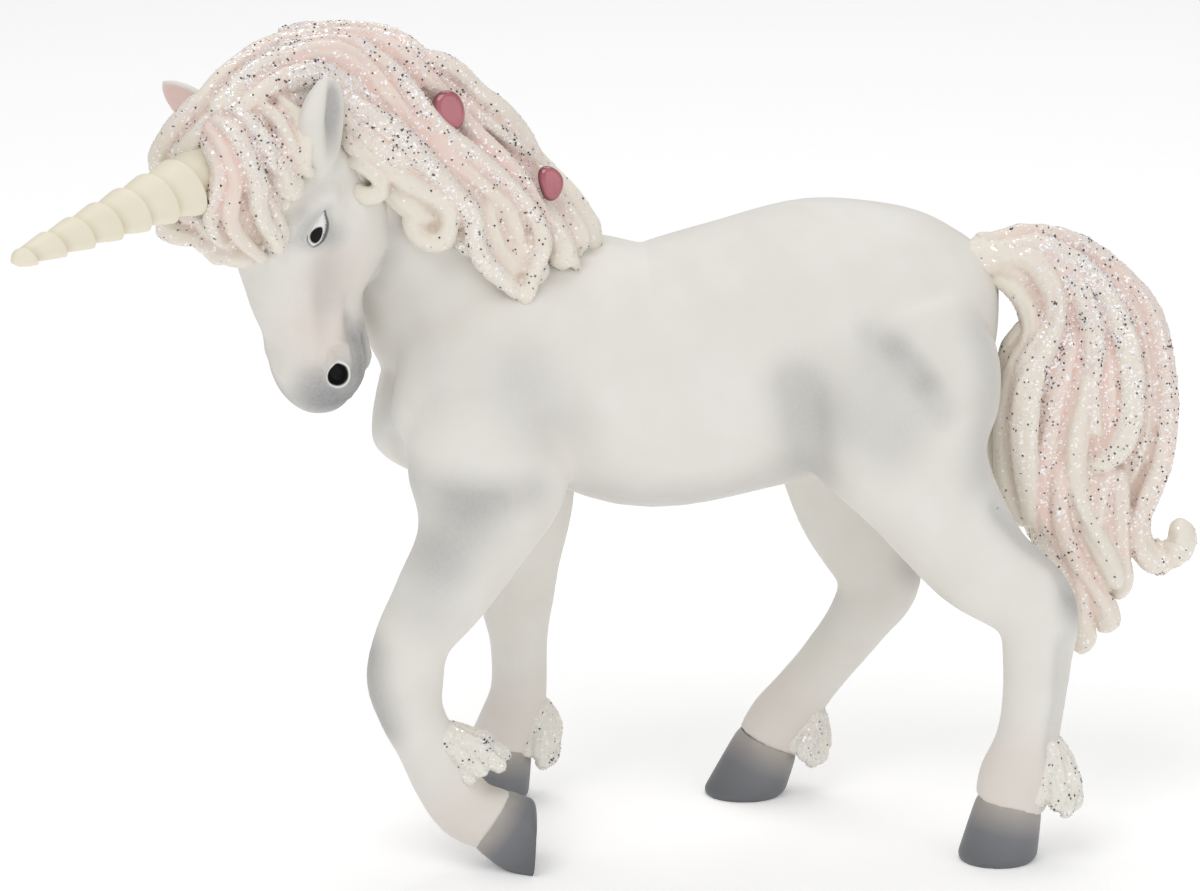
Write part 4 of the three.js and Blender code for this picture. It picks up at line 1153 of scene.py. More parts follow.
NEAR_MANE = [
    (1.9, 0.7, 0.5, 0.8, 0.0, [
        (-34.3, -8.5, 92.5), (-30, -9.3, 93.1), (-25.7, -7.8, 92.7), (-22.3, -7.4, 91.8),
        (-19.3, -8.4, 89.9), (-16.1, -8.2, 86.7), (-12.9, -7.4, 83.8), (-9.6, -6, 81),
        (-6.7, -4.6, 77.7), (-4.1, -4.4, 73.9), (-2.5, -4.6, 70.2), (-2.1, -6, 67.8)]),
    (1.35, 0.6, 0.3, 0.6, 0.2, [
        (-20.8, -7.4, 89.6), (-18.4, -8.2, 89.6), (-15.6, -8, 88.3), (-13.1, -7.4, 85.8),
        (-10.6, -6.4, 83.7), (-8.7, -5.2, 81.4), (-7.4, -4.9, 79.4), (-6.2, -5, 77.4)]),
    (1.6, 0.3, 0.9, 0.3, 0.0, [
        (-34.3, -10.6, 91.9), (-28.9, -11.2, 93), (-24.6, -9.4, 92.2), (-21.4, -9.5, 90.7),
        (-19.3, -10, 88.7), (-16.8, -9.8, 86.1), (-14.4, -9.7, 83), (-12.2, -9.8, 80.4),
        (-10, -9.6, 78.2), (-8, -9.1, 76), (-6.3, -8.7, 73.4), (-4.8, -8.5, 71.3),
        (-3.5, -8.3, 69.3), (-2.8, -8.1, 67.6), (-2.2, -7.7, 65.7)]),
    (1.5, 0.5, 0.3, 1.0, 0.05, [
        (-34.3, -13.5, 91.5), (-30, -13, 92.4), (-26.2, -11.4, 91.6), (-23.2, -11.4, 89.6),
        (-21.1, -12.2, 87.4), (-19, -12.6, 84.6), (-16.5, -12.6, 81.7), (-14.1, -12, 79.7),
        (-11.7, -11, 77.6), (-9.5, -10.3, 75.4), (-7.8, -10, 73.3), (-6.8, -10.2, 71.3),
        (-6.6, -10.6, 69.4), (-7.1, -10.8, 67.5), (-7.7, -10.8, 65.8), (-8.1, -10.9, 64.3),
        (-8.5, -11.1, 63.5)]),
    (1.8, 0.7, 0.95, 0.2, 0.0, [
        (-34.3, -16.3, 90.7), (-30.9, -14.9, 91.6), (-27.9, -13.8, 91.3), (-25.1, -12.9, 89.2),
        (-22.8, -13.2, 86.6), (-20.7, -13.1, 83.9), (-18.2, -12.8, 82), (-16.5, -12.6, 79.9),
        (-14.3, -12, 78.1), (-12.3, -11.4, 76.1), (-10.2, -10.7, 74), (-9.3, -10.5, 71.7),
        (-8.5, -10.3, 69.3), (-7.9, -10.1, 67.3)]),
    (1.6, 0.5, 0.2, 1.0, 0.15, [
        (-33.9, -18.1, 89.8), (-30.7, -16.2, 90.4), (-27.5, -14.6, 89), (-25, -14, 86.5),
        (-22.9, -14.2, 84.2), (-20.3, -13.8, 82.3), (-17.7, -13.2, 80.3), (-15.8, -12.8, 78),
        (-13.9, -12.2, 76.1), (-12.5, -11.6, 73.8), (-11.8, -11, 71.4), (-11.1, -10.4, 69)]),
    (1.75, 0.5, 0.15, 1.0, 0.25, [
        (-29.4, -14.4, 89.8), (-26.9, -14.8, 86.8), (-24.7, -15.4, 84.8), (-22, -15.4, 82.9),
        (-19.8, -15, 80.7), (-17.7, -14.1, 78.5), (-15.5, -13.3, 76), (-13.8, -12.8, 73.8),
        (-13.5, -12.6, 71.9), (-13.2, -12.4, 70), (-12.2, -12.1, 68), (-10.7, -11.8, 66.3),
        (-9.4, -11.4, 64.9), (-8.7, -11.1, 63.9)]),
    (1.7, 0.6, 0.2, 0.5, 0.35, [
        (-28.2, -14, 87.4), (-26.2, -15, 84.4), (-23.8, -15.4, 82), (-21, -14.9, 80),
        (-18.6, -14, 78.2), (-16.4, -13.2, 76.4)]),
    (1.7, 0.55, 0.05, 0.15, 0.6, [
        (-27.4, -14, 84.6), (-26.2, -15.1, 82.4), (-25.2, -15.4, 81.2), (-23.3, -15.2, 79.7),
        (-20.8, -14.7, 77.9), (-18.4, -13.9, 76.4), (-16.7, -13.3, 74.9), (-16.2, -13, 73.2),
        (-16.7, -12.8, 71.6), (-18, -12.6, 70.7), (-19.4, -12.5, 71.2), (-20.2, -12.5, 72.5),
        (-20.5, -12.5, 74), (-20.4, -12.9, 75.4)]),
    (1.7, 0.9, 0.05, 0.03, 0.8, [
        (-29, -11.6, 83.4), (-27.6, -12.8, 81.2), (-26.2, -13.5, 79), (-25.4, -13.2, 77)]),
    (2.1, 0.8, 0.05, 0.03, 0.8, [
        (-26, -13.2, 80.6), (-23.4, -13.1, 78.4), (-20.6, -12.6, 75.6), (-18.6, -12, 73.4),
        (-17.8, -11.7, 72.2)]),
    (1.6, 0.75, 0.15, 0.1, 0.7, [
        (-13.2, -11.6, 75), (-12.3, -11.1, 73), (-11.5, -10.8, 70.8), (-10.7, -10.6, 68.7),
        (-9.7, -10.5, 67.2), (-8.8, -10.4, 66.2)]),
    (1.0, 0.85, 0.0, 0.03, 0.8, [
        (-27.9, -13.2, 79.8), (-26.2, -15.2, 80), (-24.9, -15.4, 79.1), (-24, -15.1, 77.7),
        (-24.3, -14.9, 76.5), (-25.5, -14.9, 76.1), (-26.7, -14.6, 76.6)]),
]  # half width, share left of it at the tip, pink, glitter, paleness and the line of a lock, in mm
UNDER_LIFT = 1.6
FAR_LIFT = 2.4
NECK_LINE = [*(row[:3] for row in neck_rows), on_head(1, 3, 0)]
neck_run = fine_run(neck_rows)


def over_neck(share, degrees, lift):
    """A place over the neck, turned from the crest to the left, and the way out of the skin."""
    centre, side, out, _, wide, deep = (part[spot_at(share)] for part in neck_run)
    turn = math.radians(degrees)
    place = centre - side * math.sin(turn) * (wide + lift) + out * math.cos(turn) * (deep + lift)
    return place, unit(out * math.cos(turn) / deep - side * math.sin(turn) / wide)


def neck_place(lift):
    """A rule that places lines of share and degrees, lifted most over the crest and the poll."""
    def place(line):
        placed = []
        for share, degrees in line:
            crest = 0.35 + 0.65 * max(0, math.cos(math.radians(degrees)))
            placed.append(over_neck(share, degrees, lift * crest * (0.4 + 0.7 * share)))
        return (np.array(part) for part in zip(*placed))
    return place


plain_locks("mane", UNDER_MANE, 1, neck_place(UNDER_LIFT), 0.3)
plain_locks("mane", FAR_MANE, 2, neck_place(FAR_LIFT), 0.3)
seen_locks("mane", NEAR_MANE, NECK_LINE)
print("mane strands:", len(strands["mane"][0]))

# %% [markdown]
# The crown and the forelock start at the same parting. The forelock falls over the brow on both
# sides of the horn in wavy locks, and the crown carries the hair back over the poll into the mane
# on the far side.

# %% Forelock and crown
UNDER_FORELOCK = [
    (2.4, [(-7, -5, 2.6), (-5.6, -1.6, 4.2), (-2.4, -0.4, 5), (0.6, 0.2, 5.4), (3, 0.4, 5.6)]),
    (2.2, [(-6.5, -5, 2.5), (-6.4, 0, 3.8), (-3.4, 4, 5), (0.6, 5, 5.6), (4, 4.4, 5.8)]),
    (2.4, [(-6.8, -4, 1.5), (-6.4, 3, 2.6), (-2, 7.4, 3.6), (4.2, 7.8, 3.8), (9.6, 6.4, 3.6)]),
    (2.4, [(-7, -3, 0), (-6.4, 4.4, 1), (-2.6, 9, 2.4), (3, 10, 2.8), (9, 8.2, 2)]),
]
FAR_FORELOCK = [
    (2.0, [(-7.2, -3, -0.6), (-6.8, 4, -1.2), (-4, 8.8, -2.6), (0.5, 10.8, -4.4), (6, 10.2, -4.4),
           (10.4, 8.2, -3)]),
    (2.0, [(-7, -4, -1.6), (-5.8, 2.6, -3), (-1.6, 7.4, -4.8), (2.6, 9.4, -6.2), (7, 9, -6),
           (9.6, 7.4, -4.6)]),
    (1.9, [(-6.6, -5, -2.4), (-4.6, 1.2, -4.4), (0.4, 5.8, -6.2), (4, 7.2, -7.2), (8, 6.6, -6.8)]),
]  # half width and the line of a lock: down, out and left on the head
NEAR_FORELOCK = [
    (0.95, 0.6, 0.1, 0.15, 0.6, [
        (-35.4, -17.6, 89.4), (-34.1, -19.4, 87.3), (-32.8, -20, 85.9), (-32.1, -20.3, 84.5),
        (-31.9, -20.3, 82.7), (-31.9, -19.9, 80.7), (-31.4, -19.2, 79.6)]),
    (1.1, 0.5, 0.3, 0.5, 0.3, [
        (-38.6, -18.8, 88.6), (-36.5, -20.4, 87.4), (-34.7, -20.9, 85.9), (-33.5, -21, 83.8),
        (-32.8, -20.8, 82), (-31.8, -20, 80.2), (-30.8, -19, 79.4)]),
    (1.35, 0.5, 0.15, 1.0, 0.2, [
        (-40.1, -20.2, 87.3), (-38.1, -21.6, 85.9), (-36.5, -22.3, 83.6), (-35.8, -22, 81.6),
        (-35, -20.8, 79.8), (-34.2, -19.6, 78), (-34.1, -18.8, 76), (-34.8, -18.2, 74.6)]),
    (1.45, 0.6, 0.15, 0.5, 0.35, [
        (-41.3, -20.8, 86), (-39.3, -22.6, 84.3), (-38.1, -23.1, 81.7), (-37.4, -23, 79.5),
        (-37.2, -22.3, 77.1), (-36.5, -21.3, 74.9), (-35.3, -20, 72.8), (-34.6, -18.8, 71)]),
    (1.25, 0.6, 1.0, 0.1, 0.0, [
        (-42.1, -21, 85.2), (-40.3, -23.1, 82.9), (-39.3, -23.4, 80), (-39.8, -23.2, 77.5),
        (-40, -22.4, 75.6), (-39.3, -21.3, 73.5), (-37.7, -19.9, 71.5), (-36.3, -18.4, 69.9)]),
    (1.25, 0.6, 0.5, 0.6, 0.1, [
        (-42.9, -19.6, 84.9), (-41.5, -22.6, 82.8), (-40.8, -23.4, 80.9), (-40.9, -23.4, 78.8),
        (-41.4, -22.5, 76.8), (-41.7, -21, 74.7), (-41.2, -19.6, 72.6), (-39.6, -18.4, 71)]),
    (1.5, 0.8, 0.1, 0.7, 0.4, [
        (-47.4, -15.6, 73.4), (-45.6, -16.2, 72.6), (-43.8, -16.4, 72.2), (-42.4, -16.4, 71.1),
        (-41, -16.2, 69.4)]),
    (1.5, 0.8, 0.2, 0.4, 0.3, [
        (-43, -16.6, 72.2), (-41.2, -17.4, 71), (-39.4, -18, 70.4), (-37.9, -18, 70)]),
    (1.2, 0.8, 0.3, 0.6, 0.3, [
        (-45.4, -17, 74.7), (-43.6, -17.6, 74.2), (-42.6, -17.6, 72.9), (-41.8, -17.2, 71.2)]),
    (1.5, 0.8, 0.4, 0.7, 0.1, [
        (-42.1, -18, 87.7), (-43.5, -18.3, 86.6), (-44.7, -18.4, 85.3), (-45.9, -18, 84),
        (-47, -17.3, 82.3), (-47.6, -16.4, 80.5), (-47.4, -15.4, 77.5)]),
    (1.4, 0.8, 0.1, 0.4, 0.5, [
        (-41.5, -20.6, 86), (-42.9, -20.2, 84.6), (-44.4, -19.2, 83), (-45.6, -18, 81.2),
        (-46.2, -17, 79.4)]),
    (1.7, 0.8, 0.7, 0.6, 0.0, [
        (-30, -11, 92.4), (-33, -11.2, 92.2), (-36.1, -12.2, 91.4), (-38.5, -14.7, 90.4),
        (-40.7, -16.6, 89.1), (-42.3, -18, 87.6), (-43.6, -18.4, 86.2), (-44.8, -18.4, 84.8)]),
    (1.6, 0.8, 0.2, 1.0, 0.05, [
        (-30.4, -14.6, 91.6), (-33.1, -15, 91.2), (-35.7, -16.7, 90.5), (-38.1, -18.3, 89.4),
        (-40, -19.7, 87.9), (-41.7, -20.5, 86.4)]),
    (1.45, 0.8, 0.6, 0.5, 0.1, [
        (-31.2, -16.4, 89.9), (-33.5, -17.7, 89.8), (-35.7, -19.1, 89.1), (-37.7, -20.3, 87.9),
        (-39.3, -21.3, 86.6)]),
]  # half width, share left of it at the tip, pink, glitter, paleness and the line of a lock, in mm
CROWN = [
    (2.1, [(-6.4, 1, side), (-7.8, -5, side * 1.25), (-6.8, -10, side * 1.6),
           (-3.4, -14.6, side * 2.1), (2, -18, side * 2.6)])
    for side in (-3.2, -1.4, 0.6)
]
UNDER_CROWN = [
    (2.4, [(-5, 1.5, -3.5), (-4.8, -3, -5), (-3.2, -7.5, -6.4), (-0.5, -11.5, -7.4), (3, -15, -8)]),
    (2.2, [(-2.6, -0.5, -6), (-2.2, -3.8, -6.8), (-0.8, -7.5, -7.6), (2, -11, -8.2),
           (5.4, -14, -8.4)]),
    (1.9, [(-0.2, -2.4, -6.8), (0.8, -5.4, -7.7), (3, -8.8, -8.3), (6, -11.8, -8.6)]),
    (2.6, [(-5.4, 1.5, 0), (-5.4, -4, 0), (-4, -9, -0.8), (-1, -13.6, -1.6)]),
]
HEAD_LINE = [on_head(*row) for row in ((-2, -8, 0), (-1, -2, 0), (2, 3, 0), (12, 0, 0))]


def head_place(line):
    path = np.array([on_head(*row) for row in line])
    return path, away_from(path, HEAD_LINE)


plain_locks("forelock", UNDER_FORELOCK, 1, head_place)
plain_locks("forelock", FAR_FORELOCK, 2, head_place)
seen_locks("forelock", NEAR_FORELOCK, HEAD_LINE)
plain_locks("mane", CROWN, 2, head_place)
plain_locks("mane", UNDER_CROWN, 1, head_place)
print("strands:", {piece: len(forms) for piece, (forms, _) in strands.items()})

# %% [markdown]
# The tail arches out of the rump and falls in long locks. One thin lock on the outside ends in a
# tight curl. The far side has plainer locks, as the mould is read from the side.

# %% Tail
FAR_TAIL = [
    (2.4, [(41.5, 1, 65.6), (48, 2.2, 65), (52, 3.2, 58.1), (51, 3.8, 49.1), (49.6, 3.8, 41.1),
           (51, 3.4, 33.1), (53.4, 3, 24.1)]),
    (2.6, [(42, 1, 66), (50, 2.2, 65.5), (55.6, 3.2, 57.1), (57.6, 3.6, 46.1), (57, 3.6, 37.1),
           (57.6, 3.2, 29.1)]),
    (2.0, [(42, 1, 65.4), (47.6, 3, 62.6), (49, 4.4, 56), (47.4, 4.8, 47), (47.4, 4.4, 39),
           (49.4, 3.8, 32)]),
]
UNDER_TAIL = [
    (2.8, [(41, 0, 65.6), (48, -0.8, 65.2), (55, -1.6, 61), (58.4, -2, 53), (58.8, -2.2, 45),
           (57.4, -2, 38), (56.6, -2, 32)]),
    (2.8, [(41.5, -1, 65.4), (47.4, -2.4, 63.8), (50, -3.8, 57.1), (48.8, -4.4, 49.1),
           (48.6, -4.2, 41.1), (50.6, -3.6, 33.1), (54, -3, 26.1)]),
    (2.8, [(42, -1, 65), (50, -2.8, 63.5), (54.6, -4, 55.1), (54.8, -4.3, 45.1), (54, -4, 36.1),
           (55.2, -3.4, 29)]),
]  # half width and the line of a lock, in mm
NEAR_TAIL = [
    (1.3, 1.75, 0.5, 0.6, 0.1, [
        (39.6, -1.2, 66.2), (45, -1.2, 68.2), (48.9, -1.1, 68.1), (52.6, -0.9, 66.9),
        (56.1, -0.9, 64.4), (59.6, -1, 60.8), (61.2, -1.7, 57.6), (62, -2.3, 53.5),
        (62.4, -2.8, 49.4), (62.2, -3.1, 45.5), (61.6, -3.2, 41.9), (60.3, -3.1, 38.5),
        (59.6, -2.9, 36.1), (59.8, -2.7, 33.9), (61, -2.4, 32), (62.9, -2, 31.5),
        (64.4, -1.8, 32.4), (64.9, -1.8, 33.9), (64.5, -2, 35.2)]),
    (1.7, 1, 0.7, 0.5, 0.0, [
        (40, -1.8, 66), (46.3, -1.6, 67.7), (50.1, -1.6, 67), (54, -1.8, 65), (57.1, -2.2, 61.9),
        (59.1, -2.6, 58.6), (60.1, -3, 55), (60.5, -3.5, 51.2), (60.4, -3.7, 47.3),
        (59.8, -3.6, 43.6), (59, -3.4, 40.5), (58.4, -3, 37.6)]),
    (2.0, 1, 0.1, 0.8, 0.3, [
        (40.4, -2.4, 65.8), (47.1, -2.7, 67), (50.8, -3.3, 65.8), (54, -3.9, 63.2),
        (56.2, -4.6, 59.7), (57.5, -5, 56.2), (58, -5.4, 52.4), (57.8, -5.8, 48.6),
        (56.6, -6.1, 45.4), (54.5, -6.1, 43.4), (52.8, -5.8, 43.5)]),
    (1.9, 1, 0.4, 1.0, 0.1, [
        (40.4, -2.6, 65.6), (46.4, -3, 66.8), (50, -4.1, 65.1), (52.4, -5.1, 62.2),
        (53.6, -5.8, 58.8), (53.8, -6, 54.9), (53.5, -6.1, 51.3), (54, -6.2, 48),
        (54.6, -6.2, 45.9)]),
    (1.8, 1, 0.2, 0.7, 0.35, [
        (40.6, -2.8, 65.4), (46, -3.4, 66.2), (48.8, -4.6, 64.3), (49.8, -5.3, 61.4),
        (49.3, -5.7, 58.8), (47.8, -6.4, 56.4), (46.3, -6.8, 53.9), (45.5, -7, 50.7),
        (45.4, -6.9, 46.7), (45.9, -6.5, 42.6), (46.7, -6, 38.6), (47.9, -5.6, 35.8)]),
    (1.4, 1, 1.0, 0.6, 0.0, [
        (51.7, -5.3, 59.3), (51.1, -5.9, 55.9), (50.3, -6.2, 52.7), (49.3, -6.4, 49.1),
        (48.2, -6.4, 45.5), (47.6, -6.4, 41.9), (47.8, -6.1, 38.4), (49.3, -5.7, 35.7),
        (51.2, -5.5, 32.9), (52.5, -5.1, 30.1), (53.2, -4.6, 26.6), (53.2, -4, 22.8),
        (52.9, -3.8, 21)]),
    (1.9, 1, 0.1, 0.6, 0.45, [
        (53, -5.8, 55.5), (52.3, -6.3, 51), (51.7, -6.5, 47.1), (51.6, -6.2, 43.7),
        (52, -5.8, 40.2), (53.2, -5.6, 36.6), (54.8, -5.5, 33.6), (56.3, -5, 30.8),
        (57, -4.4, 28.6)]),
    (1.6, 0.9, 0.1, 0.3, 0.6, [
        (46.6, -3.8, 57.6), (45.2, -3.6, 54.8), (44.2, -3.2, 51.6), (43.6, -2.9, 48.4),
        (43.3, -2.7, 45), (43.6, -2.6, 41.6), (44.8, -2.6, 38.4), (46.8, -2.8, 36)]),
    (1.3, 1, 0.1, 0.2, 0.6, [
        (41.2, -2, 64.8), (43.8, -3.2, 64), (45.8, -4.4, 62.2), (46.9, -5.2, 59.4),
        (46.6, -5.6, 56.9), (45.2, -5.7, 53.9), (44.2, -5.7, 51.3), (43.8, -5.7, 48.1),
        (43.8, -5.5, 44.3), (44.2, -5.3, 41), (45.3, -5.1, 38), (46.9, -4.9, 36)]),
    (1.6, 1, 0.8, 0.5, 0.1, [
        (50.2, -6.3, 44.4), (49.8, -6.3, 40.2), (50.1, -6, 36.4), (51.5, -5.6, 32.9),
        (53.4, -5, 29.9), (55, -4.7, 27.2), (56, -4.3, 25), (56.4, -4.1, 23.8)]),
    (1.5, 1, 0.4, 0.4, 0.3, [
        (56.6, -6, 42.6), (57.2, -5.2, 38.9), (57.6, -4.2, 34.8), (57.9, -3.6, 31.6),
        (57.7, -3.4, 29), (56.8, -3.4, 27.8)]),
]  # half width, share left of it at the tip, pink, glitter, paleness and the line of a lock, in mm
TAIL_LINE = [(40, 0, 62), (46, 0, 61), (52, 0, 56), (53, 0, 48), (53, 0, 36), (55, 0, 26)]


def tail_place(line):
    path = np.array(line, float)
    return path, away_from(path, TAIL_LINE)


plain_locks("tail", UNDER_TAIL, 1, tail_place)
plain_locks("tail", FAR_TAIL, 2, tail_place)
seen_locks("tail", NEAR_TAIL, TAIL_LINE)
print("tail strands:", len(strands["tail"][0]))

# %% [markdown]
# Feathers are the tufts behind each pastern, a fan of short curled locks that swing out over the
# hoof. Every lock of a fan follows the same line down the leg, turned further round its back.

# %% Fetlock tufts
TUFTS = {
    "fore_tuft_left": ("fore_leg_left", [(0.68, -1), (0.74, 0.6), (0.79, 2.1), (0.835, 3.2)]),
    "fore_tuft_right": ("fore_leg_right", [(0.79, -1), (0.86, 0.6), (0.925, 1.7), (0.975, 1.9)]),
    "hind_tuft_left": ("hind_leg_left", [(0.79, -1), (0.85, 0.6), (0.91, 1.9), (0.965, 2.5)]),
    "hind_tuft_right": ("hind_leg_right", [(0.81, -1), (0.87, 0.6), (0.93, 1.8), (0.975, 2.1)]),
}  # leg and the line of a tuft: share down the leg, lift off its back
TUFT_LAYERS = [
    (-56, 0.4, 0.9), (-38, 0.8, 1), (-20, 1, 0.92), (-4, 1.05, 1.02), (12, 1.05, 0.92),
    (28, 1, 1.02), (44, 0.8, 0.9), (58, 0.4, 0.98), (-46, 0.5, 0.55), (-14, 0.9, 0.62),
    (18, 0.85, 0.58), (48, 0.5, 0.6),
]  # degrees round the back, share of the lift and share of the length
TUFT_HALF_WIDTH = 1.15
TIP_CURL = 0.3
for name, (leg, line) in TUFTS.items():
    centres, sides, outs, _, wide, deep = fine_run(leg_rows(leg))
    root = line[0][0]
    for degrees, lift_share, length_share in TUFT_LAYERS:
        path, ways = [], []
        sunk = 1.5 * (degrees / 56) ** 2
        for step, (share, lift) in enumerate(line):
            turn = math.radians(degrees + rng.uniform(-7, 7))
            spot = spot_at(root + (share - root) * length_share)
            sideways, back = sides[spot] * math.sin(turn), outs[spot] * math.cos(turn)
            way = unit(sideways + back)
            rise = lift * lift_share
            curl = TIP_CURL if step == len(line) - 1 else 0
            path.append(centres[spot] + sideways * (wide[spot] + rise * 0.8 - sunk)
                        + back * (deep[spot] + rise) + way * curl)
            ways.append(way)
        add_lock(name, np.array(path), np.array(ways), TUFT_HALF_WIDTH, depth=0.95, rosy=0.05,
                 pale=0.5)
print("tuft strands:", {name: len(strands[name][0]) for name in TUFTS})

# %% [markdown]
# Melting the strands closes the gaps between them, as in the mould. The valleys that the melt has
# softened are then carved deeper. Afterwards every point looks up the strand that it belongs to.
# That gives its place from root to tip, and an angle round the strand for the combed lines.

# %% Melt, comb and mark the hair
HAIR_VOXEL, TUFT_VOXEL = 0.3, 0.22
COMB_DEPTH, TUFT_COMB_DEPTH = 0.05, 0.04
COMB_LINES = 9
RELIEF_ROUNDS = 36
MOST_CARVED = 0.5
FULL_GROOVE = 0.12
BARE_DOCK = ([(41, -1, 66), (44.5, -2, 64.6)], 8)  # the tail's root has no glitter
BLOCK = 4000


def strand_lookup(points, marks):
    """For each point: share along its strand, angle round it, and the strand's paint values."""
    lines, girths, sides, outs, *paints = zip(*marks)
    spots, sides, outs = np.vstack(lines), np.vstack(sides), np.vstack(outs)
    girths = np.concatenate(girths)
    found = np.empty(len(points), int)
    for start in range(0, len(points), BLOCK):
        block = points[start:start + BLOCK]
        gap = np.linalg.norm(block[:, None] - spots[None], axis=2) - girths
        found[start:start + BLOCK] = np.argmin(gap, axis=1)
    off = points - spots[found]
    angle = np.arctan2(np.sum(off * outs[found], axis=1), np.sum(off * sides[found], axis=1))
    strand, step = np.divmod(found, STRAND_STEPS)
    return np.linspace(0, 1, STRAND_STEPS)[step], angle, *np.array(paints)[:, strand]


def cavity_of(piece, rounds=6):
    """Positive in grooves and negative on ridges, in mm."""
    points = points_of(piece)
    ends = read(piece.data.edges, "vertices", 2, int)
    a, b = ends.T
    count = np.bincount(ends.ravel(), minlength=len(points)).astype(float)[:, None]
    smooth = points.copy()
    for _ in range(rounds):
        total = np.zeros_like(smooth)
        np.add.at(total, a, smooth[b])
        np.add.at(total, b, smooth[a])
        smooth = total / count
    return np.sum((smooth - points) * normals_of(piece), axis=1)


def finish_hair(name, voxel=HAIR_VOXEL, comb=COMB_DEPTH, bare=None, deepen=0):
    """Melts the strands of a piece, carves and combs it, and marks it for the paint."""
    forms, marks = strands[name]
    piece = fuse(name + "_hair", forms, voxel)
    relax(piece, 3, factor=0.4)
    if deepen:
        carved = np.clip(cavity_of(piece, RELIEF_ROUNDS), -MOST_CARVED, MOST_CARVED) * deepen
        set_points(piece, points_of(piece) - normals_of(piece) * carved[:, None])
    points = points_of(piece)
    share, angle, rosy, glitter, pale = strand_lookup(points, marks)
    lines = np.cos(COMB_LINES * angle) * comb * np.clip(4 * (1 - share), 0, 1)
    set_points(piece, points + normals_of(piece) * lines[:, None])
    # The groove channel sets where the paint lays its painted shade.
    groove = np.clip(cavity_of(piece) / FULL_GROOVE, -1, 1)
    if bare:
        plain = fade(near(points, bare[0]), bare[1])
        pale, glitter = lay(pale, plain), glitter * (1 - plain)
    store(piece, "strand", lay(pale, share), rosy, glitter, groove * 0.5 + 0.5)
    shade_smooth(piece)
    pieces[name] = piece


finish_hair("mane", deepen=0.9)
finish_hair("forelock", deepen=0.9)
finish_hair("tail", bare=BARE_DOCK, deepen=1.1)
for name in TUFTS:
    finish_hair(name, TUFT_VOXEL, TUFT_COMB_DEPTH)
print("hair faces:", {name: len(pieces[name].data.polygons) for name in strands})

# %% [markdown]
# The two stones in the mane are flat-backed drops of glossy rose. A sphere is squeezed low, its rim
# bevelled by the squeeze itself, and a mask darkens the edge where paint has run in round the
# setting.

# %% Stones in the mane
GEMS = {
    "gem_upper": (0.769, 55, 1.66, 2.2, -28, 0.13, 0),
    "gem_lower": (0.415, 30.6, 1.37, 1.93, -24, 0, 0.16),
}  # place on the neck, halves, turn, how much one end is narrowed and how far the stone bows
GEM_HALF_HEIGHT = 0.75
GEM_TO_LEFT = 1.6
GEM_FLAT, GEM_CROWN, GEM_SHOULDER = 0.85, 0.12, 1.25
GEM_BOW = 2.2
RIM_FROM, RIM_SPAN = 0.82, 0.18
for name, (share, degrees, half_wide, half_long, turn, narrowed, bowed) in GEMS.items():
    way = unit(over_neck(share, degrees, 0)[1] + GEM_TO_LEFT * LEFT)
    up_neck = neck_run[3][spot_at(share)]
    x_way = unit(np.cross(up_neck, way))
    y_way = np.cross(way, x_way)
    cos, sin = math.cos(math.radians(turn)), math.sin(math.radians(turn))
    x_way, y_way = x_way * cos + y_way * sin, y_way * cos - x_way * sin
    pick()
    bpy.ops.mesh.primitive_uv_sphere_add(segments=40, ring_count=20, radius=1)
    gem = bpy.context.object
    gem.name = name + "_stone"
    ball = read(gem.data.vertices, "co")
    radius = np.hypot(ball[:, 0], ball[:, 1])
    squeezed = np.minimum(np.abs(ball[:, 2]) * GEM_SHOULDER, GEM_FLAT + GEM_CROWN * (1 - radius))
    ball[:, 2] = np.sign(ball[:, 2]) * squeezed
    ball[:, 0] *= 1 + narrowed * ball[:, 1]
    ball[:, 0] += bowed * np.cos(ball[:, 1] * GEM_BOW)
    gem.data.vertices.foreach_set("co", ball.ravel())
    store(gem, "relief", np.clip((radius - RIM_FROM) / RIM_SPAN, 0, 1))
    gem.data.transform(frame_of(
        x_way * half_wide, y_way * half_long, way * GEM_HALF_HEIGHT, to_layout(middle(name))))
    bpy.ops.object.shade_smooth()
    pieces[name] = gem
print("stones:", list(GEMS))

# %% [markdown]
# Glitter is stuck on after painting. One flake, a flat four-sided plate, is modelled once and laid
# over the hair thousands of times at seeded places, more of them on some strands than on others.
# Each flake keeps its own tint, so most are silver, in lighter or darker painted shade, some rosy
# and some almost black, painted shade for flakes that tilt away from the light.

# %% Glitter
FLAKE_RADIUS = 0.108
FLAKE_DEPTH = 0.05
FLAKE_TILT, FLAKE_STRAY, FLAKE_LIFT = 0.22, 0.14, 0.03
DARK_SHARE = 0.04
DARK_IN_CLUMPS = 0.16
GLITTER = {"mane": 13500, "forelock": 5800, "tail": 7600}
TUFT_GLITTER = 800
CLUMP_WAVES = rng.normal(0, 1.0, (3, 4))

pick()
bpy.ops.mesh.primitive_cylinder_add(vertices=4, radius=1, depth=FLAKE_DEPTH / FLAKE_RADIUS)
flake = bpy.context.object
flake_points = read(flake.data.vertices, "co")
flake_faces = [list(p.vertices) for p in flake.data.polygons]
bpy.ops.object.delete()


def clumps(places):
    """A slow wave through space, from minus three to three, that gathers the flakes in clumps."""
    return np.sin(places @ CLUMP_WAVES + np.arange(4)).sum(axis=1) * 0.75


